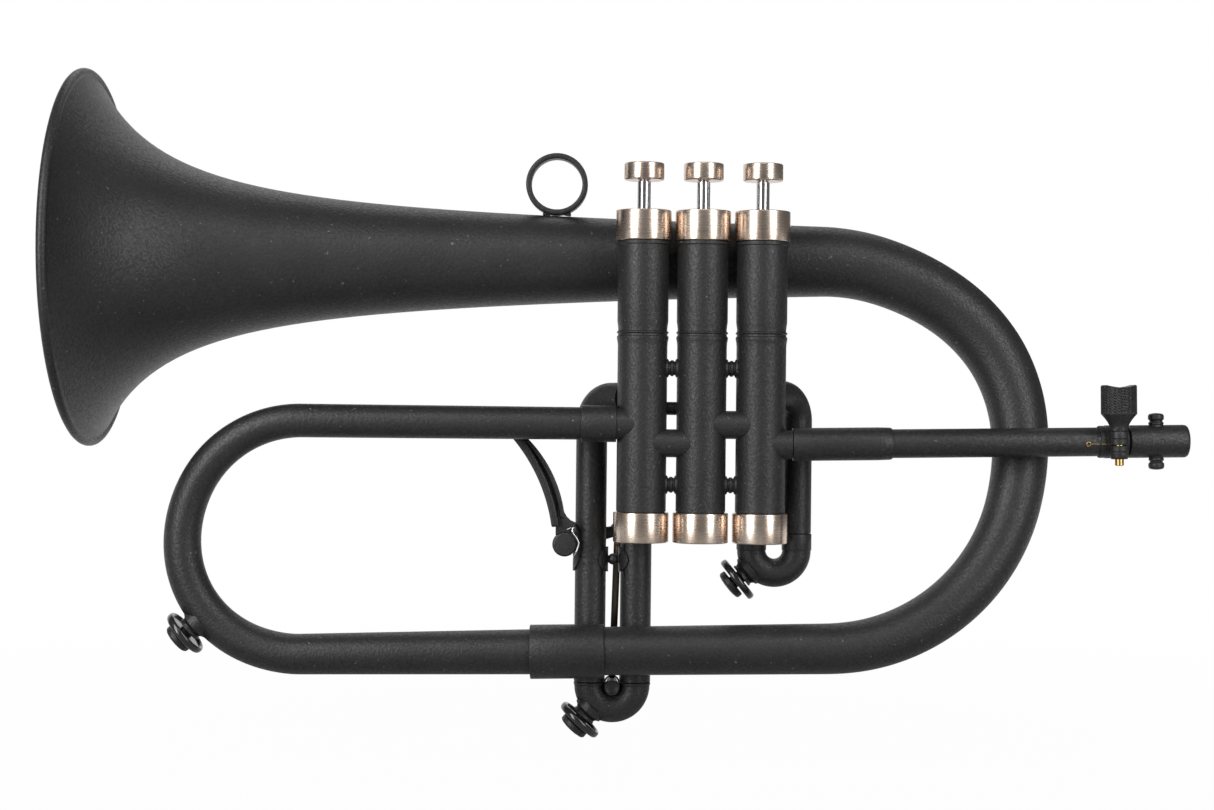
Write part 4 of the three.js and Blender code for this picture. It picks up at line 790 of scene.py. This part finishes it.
def bottom_cap(low, high):
    recess = [(0, low), (1.6, low), (1.7, low + 0.25), (6.4, low + 0.25), (6.6, low)]
    side = outer_side(cap_radius, low, high, cap_edge, 4, 3)
    return [*recess, *side, (9.65, high), (9.65, low + 2), (0, low + 2)]


def button(low, high):
    bore = [(0, low + 3.5), (2.0, low + 3.5), (2.0, low)]
    dish = [(6.6, high), (6.1, high - 0.35), (3.0, high - 0.6), (0, high - 0.65)]
    return [*bore, *outer_side(7.85, low, high, 0.55, 4, 4), *dish]


bronze = brushed_bronze_painted_bands()
turned_caps = {"top_cap": (top_cap, 96), "bottom_cap": (bottom_cap, 96), "button": (button, 80)}
for valve, x in valve_x.items():
    for kind, (outline, sides) in turned_caps.items():
        name = f"valve_{valve}_{kind}"
        body = f"valve_{valve}" if kind == "button" else "horn"
        piece = turned(name + "_turned", outline(*heights(name)), sides)
        finished(lay(piece, (x, 0, 0)), body, bronze, "bronze", name, smooth=25)


# Stems: polished steel rods from the buttons down to the pistons, thinner where they go
# into the button's bore and, low down, into the piston.
steel_light, steel_dark = (0.7, 0.7, 0.71, 1), (0.52, 0.52, 0.53, 1)
drawn = {"stretch": (1, 1, 0.003), "detail": 2.0, "Metallic": 1.0}
steel = hazy("polished steel", 700, steel_dark, steel_light, (0.1, 0.1), **drawn)


def stem(name):
    low, high = heights(name)
    outline = [(0, low), (1.7, low), (1.7, 85.3), (2.6, 85.4), (2.6, 141.3), (2.3, 141.6)]
    return turned(name + "_rod", [*outline, (1.7, 141.6), (1.7, high), (0, high)], sides=40)


for valve, x in valve_x.items():
    name = f"valve_{valve}_stem"
    finished(lay(stem(name), (x, 0, 0)), f"valve_{valve}", steel, "steel", name)


# Pistons: nickel silver, lapped to the casing, with their ports. The solids have the right
# shape, so they stay and get their finish.
def lapped_nickel():
    finish = Finish("lapped nickel silver", Metallic=1.0)
    lines = finish.noise(800, stretch=(0.1, 0.1, 3), detail=2.0)
    haze = finish.noise(90, detail=3.0)
    finish.feed("Base Color", finish.mix(haze, (0.42, 0.4, 0.36, 1), (0.56, 0.54, 0.5, 1)))
    finish.feed("Roughness", 0.24 + lines * 0.14)
    return finish.material


nickel = lapped_nickel()
for valve in valve_x:
    solid = nodes[f"valve_{valve}_piston"]
    solid.data.materials.clear()
    solid.data.materials.append(nickel)


# Valve springs: steel wire wound to a coil, closed and ground at the ends in the real one.
# They stand in the bottom caps. In the real one they shorten as the pistons go down; here each is
# made at full length on a mesh of its own.
spring_radius = 6.1 * mm
spring_wire = 0.55 * mm
spring_turns = 5
spring_low = 2.85 * mm
spring_high = 27.15 * mm
wire_sides = 12


def coil(name, points, wire):
    """A round wire through points, as one smooth curve."""
    curve = add(bpy.ops.curve.primitive_nurbs_path_add, name)
    spline = curve.data.splines[0]
    spline.points.add(len(points) - len(spline.points))
    for point, place in zip(spline.points, points):
        point.co = (*place, 1)
    spline.use_endpoint_u = True
    spline.order_u = 3
    return as_round(curve, name, wire, wire_sides, 2, fine)


def valve_spring(name, x):
    points = []
    steps = spring_turns * 20
    for i in range(steps + 1):
        angle = 2 * math.pi * spring_turns * i / steps
        across, back = spring_radius * math.cos(angle), spring_radius * math.sin(angle)
        points.append((x + across, back, spring_low + (spring_high - spring_low) * i / steps))
    return coil(name + "_coil", points, spring_wire)


for valve, x in valve_x.items():
    name = f"valve_{valve}_spring"
    piece = finished(valve_spring(name, x), "horn", steel, "steel", name)
    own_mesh(piece)


# Slide sleeves: brass tubes brazed to the casings, coated with the rest of the horn.
slide_y = 17.8 * mm
let_in = lower_radius * 0.9
sleeves = {  # valve, then x of the leg, bottom, height, radius of the elbow and of the tube
    "first_sleeve_rear": (1, 21.4, 3.2, 30.0, 7.4, 5.7),
    "first_sleeve_front": (1, 39.5, 3.2, 58.2, 10.5, 5.7),
    "third_sleeve_front": (3, -43.0, -56.9, 56.3, 10.5, 6.2),
    "third_sleeve_rear": (3, -24.8, -56.9, 30.0, 7.4, 6.2),
}
second_ports = {"lower": 35.6 * mm, "upper": 55.4 * mm}


def rising_sleeve(name, valve, *sizes):
    leg_x, bottom, height, elbow, radius = (size * mm for size in sizes)
    towards = Vector((valve_x[valve] - leg_x, -slide_y, 0))
    rise = (height - elbow - bottom, radius)
    quarter = (towards, math.pi / 2, elbow, radius)
    run = (towards.length - elbow - let_in, radius)
    knots = route((leg_x, slide_y, bottom), z_axis, radius, rise, quarter, run)
    return piped(name + "_tube", knots)


for name, sizes in sleeves.items():
    coated(rising_sleeve(name, *sizes), name)
for which, height in second_ports.items():
    name = f"second_sleeve_{which}"
    piece = sleeve(name + "_tube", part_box(name)[1].y - let_in, 5.7 * mm, 5.1 * mm)
    coated(lay(piece, (0, let_in, height), y_axis), name)


# Slide crooks: a bent tube with a ferrule on each leg, coated, and two bare nickel legs that
# slide in the sleeves. The first and third carry a water key.
crook_rise = 0.25 * mm
leg_wall = 0.6 * mm
first_legs = (21.4 * mm, 39.5 * mm)
third_legs = (-43.0 * mm, -24.8 * mm)
crooks = {
    "first": {
        "start": Vector((first_legs[0], slide_y, 2.9 * mm)), "heading": -z_axis,
        "across": x_axis, "span": first_legs[1] - first_legs[0],
        "radius": 5.7 * mm, "leg": 4.8 * mm, "ferrule": 6.8 * mm, "insert": 18.6 * mm,
    },
    "second": {
        "start": Vector((0, 30.3 * mm, second_ports["lower"])), "heading": y_axis,
        "across": z_axis, "span": second_ports["upper"] - second_ports["lower"],
        "radius": 5.7 * mm, "leg": 4.8 * mm, "ferrule": 6.2 * mm, "insert": 14 * mm,
    },
    "third": {
        "start": Vector((third_legs[0], slide_y, -57.2 * mm)), "heading": -z_axis,
        "across": x_axis, "span": third_legs[1] - third_legs[0],
        "radius": 6.0 * mm, "leg": 5.3 * mm, "ferrule": 1.2 * mm, "insert": 30 * mm,
    },
}


def crook(which, start, heading, across, span, radius, leg, ferrule, insert):
    """Start is where the first leg's ferrule meets its sleeve."""
    name, body = f"{which}_slide_crook", f"{which}_slide"
    bend = (across, math.pi, span / 2, radius)
    knots = route(start + heading * ferrule, heading, radius, bend)
    coated(piped(name + "_bend", knots), name, body=body)
    for i, foot in enumerate((start, start + across * span)):
        ring = sleeve(f"{name}_ferrule_{i}", ferrule, radius + crook_rise, radius - 2 * mm)
        coated(lay(ring, foot, heading), body=body)
        inner = sleeve(f"{name}_leg_{i}", insert, leg, leg - leg_wall)
        finished(lay(inner, foot, -heading), body, nickel, "nickel")


for which, sizes in crooks.items():
    crook(which, **sizes)
for which in ("first", "third"):
    sizes = crooks[which]
    half = sizes["span"] / 2
    centre = sizes["start"] + sizes["heading"] * sizes["ferrule"] + sizes["across"] * half
    water_key(which, centre, half, sizes["radius"], f"{which}_slide")


# Boss through the third crook: a turned knob in front to pull by, and a shaft behind that
# the trigger's rod holds.
third_middle = (third_legs[0] + third_legs[1]) / 2
boss_z = -59.1 * mm
knob = [(0, 0.5), (1.3, 0.45), (2.2, 0.15), (2.45, 0), *arc((2.6, 0.45), 0.45, -90, 0, 4)]
shaft = [(3.05, 6.2), (2.3, 6.4), (2.3, 17.1), (2.0, 17.4), (0, 17.4)]
boss = turned("third_crook_boss", knob + shaft, sides=40)
coated(lay(boss, (third_middle, 12.4 * mm, boss_z), y_axis), body="third_slide")


# Ball stay: a brass rod, turned with a ball in its middle and brazed between curved pads on
# the third slide's two sleeves. It is coated with them.
stay_z = -8.1 * mm
pad_half = 5 * mm
pad_thickness = 0.9 * mm
sleeve_radius = 6.2 * mm


def curved_pad(name, half_height, half_width, side):
    """A lens-shaped pad round Z, on the side of +X or -X, cut from a short length of tube."""
    size = (half_width, half_height, 1)
    circle = {"vertices": 40, "radius": 1, "fill_type": "NGON"}
    pad = add(bpy.ops.mesh.primitive_circle_add, name, size, **circle)
    steps = [min(half_width, half_height) * share for share in (0.12, *[0.15] * 5)]
    insets = [(bpy.ops.mesh.inset, {"thickness": step}) for step in steps]
    edited(pad, *insets, (bpy.ops.mesh.poke, {}))
    middle = sleeve_radius + pad_thickness / 2
    for vertex in pad.data.vertices:
        angle, up = vertex.co.x / middle, vertex.co.y
        vertex.co = (side * middle * math.cos(angle), middle * math.sin(angle), up)
    modified(pad, "SOLIDIFY", thickness=pad_thickness, offset=0)
    return tidy_mesh(pad, fine)


def ball_rod():
    length = (third_legs[1] - third_legs[0] - 2 * sleeve_radius) / mm
    end = [(2.4, 0), (1.5, 1.0), (1.25, 1.3)]
    ball = arc((0, length / 2), 2.3, -58, 58, 14)
    mirrored = [(r, length - h) for r, h in reversed(end)]
    return turned("ball_stay_rod", [(0, 0), *end, *ball, *mirrored, (0, length)], sides=40)


rod_start = (third_legs[0] + sleeve_radius, slide_y, stay_z)
coated(lay(ball_rod(), rod_start, x_axis), "third_slide_stay")
for which, leg_x, side in (("left", third_legs[0], 1), ("right", third_legs[1], -1)):
    pad = curved_pad(f"ball_stay_pad_{which}", pad_half, 7.2 * mm, side)
    coated(lay(pad, (leg_x, slide_y, stay_z)))


# Lead pipe: a long ferrule on the inlet knuckle, then the pipe itself, which rises a little
# towards the player and is slit at its end so that the clamp can close it.
lead_origin = Vector((35.7, -2.8, 38.9)) * mm
lead_heading = Vector((1, 0, 0.0192)).normalized()
lead_up = Vector((-lead_heading.z, 0, lead_heading.x))
lead_radius = 5.65 * mm
lead_length = 130.6 * mm
slit_length = 16.1 * mm
slit_drop = 1.2 * mm  # of the lugs' meeting line, below the pipe's axis
line_drop = 0.75 * mm  # of the bare line along the slit


def lead_place(along, front=0.0, up=0.0):
    return lead_origin + lead_heading * along - y_axis * front + lead_up * up


ferrule_outline = [(5.7, 0), *arc((6.1, 0.35), 0.35, -90, 0, 3), (6.45, 33.368), (6.3, 38.2)]
lead_ferrule = turned("lead_ferrule_sleeve", [*ferrule_outline, (5.95, 38.8), (5.7, 38.8)], 64)
coated(lay(lead_ferrule, lead_origin, lead_heading), "lead_pipe_ferrule")
lead_tube = sleeve("lead_pipe_tube", lead_length, lead_radius, lead_radius - 0.6 * mm)
coated(lay(lead_tube, lead_origin, lead_heading), "lead_pipe")


# Slit: sawn along the front of the lead pipe after coating, with a relief hole at its end,
# so that its edges and the hole's countersink are bare brass.
brass_dark, brass_light = (0.5, 0.33, 0.1, 1), (0.72, 0.52, 0.22, 1)
brass = hazy("plain brass", 300, brass_dark, brass_light, (0.2, 0.16), Metallic=1.0)


def front_at(radius):
    """How far before the pipe's axis the bare line lies, on a piece of this radius."""
    return math.sqrt(radius**2 - line_drop**2)


def slit_edge(name, start, length, radius):
    """A thin bare line let into the front of the pipe, or of the collar."""
    size = (length, 0.5 * mm, 0.32 * mm)
    edge = add(bpy.ops.mesh.primitive_cube_add, name, size, size=1)
    modified(edge, "BEVEL", width=0.06 * mm)
    heading = x_axis.rotation_difference(lead_heading).to_matrix().to_4x4()
    middle = lead_place(start + length / 2, front_at(radius) - 0.15 * mm, -line_drop)
    edge.data.transform(Matrix.Translation(middle) @ heading)
    finished(edge, "horn", brass, "brass")


slit_start = lead_length - slit_length
slit_edge("slit_edge", slit_start + 0.9 * mm, slit_length - 0.9 * mm, lead_radius)
lip_outline = [(0, -0.5), (0.5, -0.5), (0.5, -0.12), *arc((0.8, -0.02), 0.22, 120, 0, 4)]
lip = turned("relief_hole_lip", [*lip_outline, (1.02, -0.6), (0, -0.6)], sides=40)
lip_place = lead_place(slit_start, front_at(lead_radius) + 0.12 * mm, -line_drop)
finished(lay(lip, lip_place, -y_axis + lead_up * -0.2), "horn", brass, "brass")


# Clamp: a split collar round the slit end, with two lugs in front for the thumb screw. The
# lugs meet at the slit, where the brass screw shows between them.
collar_start = lead_length - 11.2 * mm
clamp_middle = lead_length - 4.9 * mm
lug_front = 8.1 * mm
thin_end = [(5.95, 0), (6.05, 0), (6.3, 0.25), (6.3, 1.9), (6.1, 2.05), (6.1, 2.3)]
under_lugs = [(6.45, 2.55), (6.45, 10.7), (6.2, 11), (5.95, 11)]
lug = [(2.0, 0.2), (3.3, 0.2), (3.5, 0.45), (3.5, 2.3), (3.3, 2.5), (3.5, 2.7)]
lug += [(3.5, 4.5), (3.1, 5.4), (2.0, 5.4)]

clamp_band = turned("clamp_band", thin_end + under_lugs, sides=64)
coated(lay(clamp_band, lead_place(collar_start), lead_heading), "clamp_collar")
slit_edge("collar_rim_slit_edge", collar_start + 0.1 * mm, 2.2 * mm, 6.3 * mm)
slit_edge("collar_slit_edge", collar_start + 2.4 * mm, 3.8 * mm, 6.45 * mm)
screw_place = lead_place(clamp_middle, lug_front, -slit_drop)
for which, direction in (("upper", 1), ("lower", -1)):
    coated(lay(turned(f"clamp_lug_{which}", lug, sides=48), screw_place, lead_up * direction))


# Thumb screw: a deep knurled head on a flared neck, its top hollowed across for the thumb,
# and a brass screw.
knurl_columns = 126
knurl_rows = 30
knurl_depth = 0.32 * mm
thumb_radius = 6.86 * mm
thumb_top = 23.3 * mm
knurl_low = 12.3 * mm
scoop_radius = 15 * mm
scoop_depth = 1 * mm


def thumb_head():
    spacing = (thumb_top - 0.5 * mm - knurl_low) / knurl_rows
    neck = [(0, 6.9), (2.0, 6.9), (2.0, 5.43), (3.3, 5.43), (3.5, 5.63)]
    flare = [(3.5 + 3.3 * (i / 10) ** 1.4, 7.0 + 5.0 * i / 10) for i in range(11)]
    rows = [(thumb_radius / mm, (knurl_low + spacing * i) / mm) for i in range(knurl_rows + 1)]
    top = [(r, thumb_top / mm) for r in (6.5, 5.8, 5.0, 4.2, 3.4, 2.6, 1.8, 1.0, 0)]
    head = turned("thumb_head_knurled", [*neck, *flare, *rows, *top], sides=knurl_columns)
    for vertex in head.data.vertices:
        place = vertex.co
        across = math.hypot(place.x, place.y)
        row = round((place.z - knurl_low) / spacing)
        if 0 < row < knurl_rows and across > thumb_radius - 0.01 * mm:
            column = round(math.atan2(place.y, place.x) * knurl_columns / (2 * math.pi))
            if (row + column) % 3 == 0:
                place.xy *= 1 - knurl_depth / thumb_radius
        if abs(place.x) < scoop_radius:
            floor = thumb_top - scoop_depth + scoop_radius
            floor -= math.sqrt(scoop_radius**2 - place.x**2)
            place.z = min(place.z, floor)
    return tidy_mesh(head)


shank_outline = [(0, -8), (1.4, -8), (1.7, -7.7), (1.7, 6.7), (0, 6.7)]
thumb = lay(thumb_head(), screw_place, lead_up)
coated(thumb, "clamp_thumb_head", body="clamp_screw", smooth=15)
shank = lay(turned("clamp_screw_shank", shank_outline, sides=32), screw_place, lead_up)
finished(shank, "clamp_screw", brass, "brass", "clamp_screw")


# Mouthpiece receiver: a turned head with a rounded end and a taper for the mouthpiece, on an
# inner tube that slides in the lead pipe. Two small grooved knobs are for pulling it, and a
# slotted screw end lies flush in its front.
knob_along = lead_length + seam + 11.2 * mm
receiver_outline = [(4.2, -34), (4.8, -34), (4.8, 0), (6.1, 0), (6.4, 0.35), (6.4, 21.8)]
receiver_outline += [(6.25, 22.5), (5.9, 23.0), (5.5, 23.2), (4.9, 23.2), (4.2, 7.2)]
pull_knob = [(0, 5.0), (3.2, 5.0), (2.75, 6.2), *arc((2.2, 7.0), 0.75, -50, 60, 6)]
pull_knob += [(2.45, 7.85), (2.45, 8.1), *arc((2.25, 9.0), 0.82, -60, 10, 4)]
pull_knob += [*arc((1.95, 9.75), 1.1, 10, 70, 5), (1.2, 11.0), (0, 11.1)]
screw_end = [(0, -0.6), (1.2, -0.6), (1.2, 0.02), (1.05, 0.1), (0.8, 0.02), (0.6, -0.12)]

receiver = turned("receiver_head", receiver_outline, sides=64)
receiver_place = lead_place(lead_length + seam)
coated(lay(receiver, receiver_place, lead_heading), "mouthpiece_receiver", body="receiver")
for which, direction in (("upper", 1), ("lower", -1)):
    knob = turned(f"pull_knob_{which}", pull_knob, sides=40)
    coated(lay(knob, lead_place(knob_along), lead_up * direction), body="receiver")
screw = turned("receiver_screw", [*screw_end, (0, -0.12)], sides=32)
coated(lay(screw, lead_place(knob_along + 1 * mm, 6.4 * mm), -y_axis), body="receiver")


# Trigger bracket: a barrel for the shaft, brazed to a long curved pad on the third slide's
# front sleeve.
pivot = Vector((-53.3, 0, -1.8)) * mm
hub_front = 8 * mm
barrel_front = 12.3 * mm
barrel_back = 24.4 * mm
barrel_outline = [(2.15, 0), (2.9, 0), (2.9, 3.9), (3.7, 4.1), (3.9, 4.4), (3.9, 11.8)]
barrel = turned("trigger_barrel", [*barrel_outline, (3.6, 12.1), (2.15, 12.1)], sides=48)
coated(lay(barrel, pivot + y_axis * barrel_front, y_axis), "trigger_bracket")
bracket_pad = curved_pad("trigger_pad", 9.7 * mm, 6.4 * mm, -1)
coated(lay(bracket_pad, (third_legs[0], slide_y, -3.2 * mm)))


# Trigger lever: a thumb plate on a slim rib, both following an arc, cast in one with a round
# hub. It is coated like the horn.
plate_centre = pivot + Vector((-72.7, 0, -2.5)) * mm
rib_centre = pivot + Vector((-51.9, 0, 4.9)) * mm


def swept(name, centre, radii, angles, depths):
    """A bar swept round Y: its end face is a plane that spin carries along the arc."""
    (inner, outer), (start, end), (front, back) = radii, angles, depths
    size = ((outer - inner) * mm, (back - front) * mm, 1)
    place = ((inner + outer) / 2 * mm, (front + back) / 2 * mm, 0)
    piece = add(bpy.ops.mesh.primitive_plane_add, name, size, place, size=1)
    spin = {"center": (0, 0, 0), "axis": (0, 1, 0), "use_auto_merge": False}
    edited(piece, (bpy.ops.mesh.spin, {"steps": 28, "angle": math.radians(end - start), **spin}))
    turn = Matrix.Rotation(-math.radians(start), 4, "Y")
    piece.data.transform(Matrix.Translation(centre) @ turn)
    return tidy_mesh(piece, fine)


def rounded(piece, width, segments=3):
    limit = {"limit_method": "ANGLE", "angle_limit": math.radians(40)}
    return modified(piece, "BEVEL", width=width, segments=segments, **limit)


def plate(name, corners, depth):
    """A flat piece across Y, from the corners of its front face and its depth."""
    circle = {"vertices": len(corners), "radius": 1, "fill_type": "NGON"}
    face = add(bpy.ops.mesh.primitive_circle_add, name, **circle)
    for vertex, corner in zip(face.data.vertices, corners):
        vertex.co = corner
    back = {"TRANSFORM_OT_translate": {"value": (0, depth, 0)}}
    return tidy_mesh(edited(face, (bpy.ops.mesh.extrude_region_move, back)), fine)


def lever_foot():
    """The flared foot between rib and hub."""
    outline = [(-3.6, 3.6), (-3.6, 7.2), (-2.9, 9.0), (-2.9, 15.2), (-0.8, 15.0), (-0.3, 12.8)]
    outline += [(0.9, 10.8), (2.3, 9.5), (4.3, 8.6), (3.7, 5.4), (2.2, 4.4), (0.6, 4.9)]
    outline += [(-1.6, 4.5)]
    corners = [pivot + Vector((x, 7.95, z)) * mm for x, z in outline]
    return rounded(plate("lever_foot", corners, 3 * mm), 0.2 * mm)


thumb_plate = swept("thumb_plate", plate_centre, (68.2, 71.2), (7.9, 46), (4.9, 11.3))
coated(rounded(thumb_plate, 0.7 * mm), "trigger_lever", body="trigger")
lever_rib = swept("lever_rib", rib_centre, (50.2, 52.2), (6, 47), (7.6, 10.6))
coated(rounded(lever_rib, 0.6 * mm), body="trigger")
coated(swept("lever_web", rib_centre, (47.8, 51.2), (8, 46), (9.3, 10.3)), body="trigger")
coated(lever_foot(), body="trigger")
hub_outline = [(0, 0), (3.9, 0), (4.5, 0.12), (4.85, 0.5), (4.85, 3.6), (4.5, 4.0)]
hub_outline += [(2.2, 4.0), (2.2, 2.0), (0, 2.0)]
hub = turned("lever_hub", hub_outline, sides=64)
coated(lay(hub, pivot + y_axis * hub_front, y_axis), body="trigger")


# Trigger crank: a flat steel arm behind the barrel, pressed on the shaft, with a pin for the
# rod. All three are coated.
crank_front = barrel_back + seam
crank_rise = math.radians(12.5)
crank_reach = 21.7 * mm
pin_place = pivot + Vector((math.cos(crank_rise), 0, math.sin(crank_rise))) * crank_reach


def flat_link(name, first, second, radii, front, depth):
    """A flat bar with round ends, between two places in a plane across Y."""
    small, reach = radii[1], (second - first).length
    lean = math.degrees(math.acos((radii[0] - small) / reach))
    outline = arc((0, 0), radii[0], lean, 360 - lean, 16) + arc((reach, 0), small, -lean, lean, 16)
    along = (second - first).normalized()
    up = along.cross(y_axis)
    origin = Vector((first.x, front, first.z))
    corners = [origin + along * x + up * z for x, z in outline]
    return rounded(plate(name, corners, depth), 0.25 * mm, 2)


def round_pin(name, radius, length):
    inner, edge = radius - 0.25, 0.25
    outline = [(0, 0), (inner, 0), (radius, edge), (radius, length - edge), (inner, length)]
    return turned(name, [*outline, (0, length)], sides=32)


arm_radii = (3.9 * mm, 2.0 * mm)
crank_arm = flat_link("crank_arm", pivot, pin_place, arm_radii, crank_front, 2 * mm)
coated(crank_arm, "trigger_crank", body="trigger")
shaft = round_pin("crank_shaft", 1.9, 16.4)
coated(lay(shaft, pivot + y_axis * 10.3 * mm, y_axis), body="trigger")
crank_pin = round_pin("crank_pin", 1.2, 5.6)
coated(lay(crank_pin, pin_place + y_axis * crank_front, y_axis), body="trigger")


# Trigger rod: a flat steel link from the crank's pin down to the third crook's boss. Its
# ends are eyes.
blued_dark, blued_light = (0.1, 0.085, 0.075, 1), (0.28, 0.23, 0.19, 1)
rolled = {"stretch": (1, 1, 0.1), "Metallic": 1.0}
blued = hazy("blued steel", 160, blued_dark, blued_light, (0.24, 0.14), **rolled)
rod_front = crank_front + 2.3 * mm
rod_thickness = 1.4
rod_bottom = Vector((third_middle, 0, boss_z))


def rod_eye(name, bore):
    back, radius, edge = rod_thickness, 3.3, 0.2
    front = [(bore, 0), (radius - edge, 0), (radius, edge)]
    outline = [*front, (radius, back - edge), (radius - edge, back), (bore, back)]
    return turned(name, outline, sides=48)


rod_line = (rod_bottom - pin_place).normalized()
blade_ends = pin_place + rod_line * 3.2 * mm, rod_bottom - rod_line * 3.2 * mm
blade_radii = (1.45 * mm, 1.4 * mm)
blade = flat_link("rod_blade", *blade_ends, blade_radii, rod_front, rod_thickness * mm)
finished(blade, "third_slide", blued, "steel", "trigger_rod")
for which, place, bore in (("upper", pin_place, 2.0), ("lower", rod_bottom, 2.6)):
    eye = rod_eye(f"rod_eye_{which}", bore)
    finished(lay(eye, place + y_axis * rod_front, y_axis), "third_slide", blued, "steel")


# Return spring: steel wire wound round the barrel behind the hub. Its free end comes forward
# under the hub, runs up beside it in a bow and hooks over the lever's foot.
torsion_radius = 3.7
torsion_wire = 0.4 * mm
torsion_front = 13.0
torsion_turns = 2
torsion_pitch = 1.25


def return_spring():
    places = []
    for i in range(41):
        left = torsion_turns * (1 - i / 40)
        across = torsion_radius * math.cos(2 * math.pi * left)
        up = torsion_radius * math.sin(2 * math.pi * left)
        places.append((across, torsion_front + torsion_pitch * left, up))
    places += [(4.6, 12.4, -1.6), (4.6, 11.2, -3.6), (3.9, 9.6, -5.0), (3.6, 8.0, -5.1)]
    places += [(4.4, 7.2, -3.6), (5.4, 7.0, -1.2), (5.8, 7.0, 0.4), (5.2, 7.0, 2.0)]
    places += [(4.0, 7.1, 3.7), (2.9, 7.2, 5.1), (3.2, 7.3, 6.2), (3.8, 7.35, 6.95)]
    places += [(2.5, 7.35, 6.5), (1.1, 7.4, 6.0)]
    points = [pivot + Vector(place) * mm for place in places]
    return coil("return_spring_wire", points, torsion_wire)


finished(return_spring(), "horn", steel, "steel", "trigger_spring")
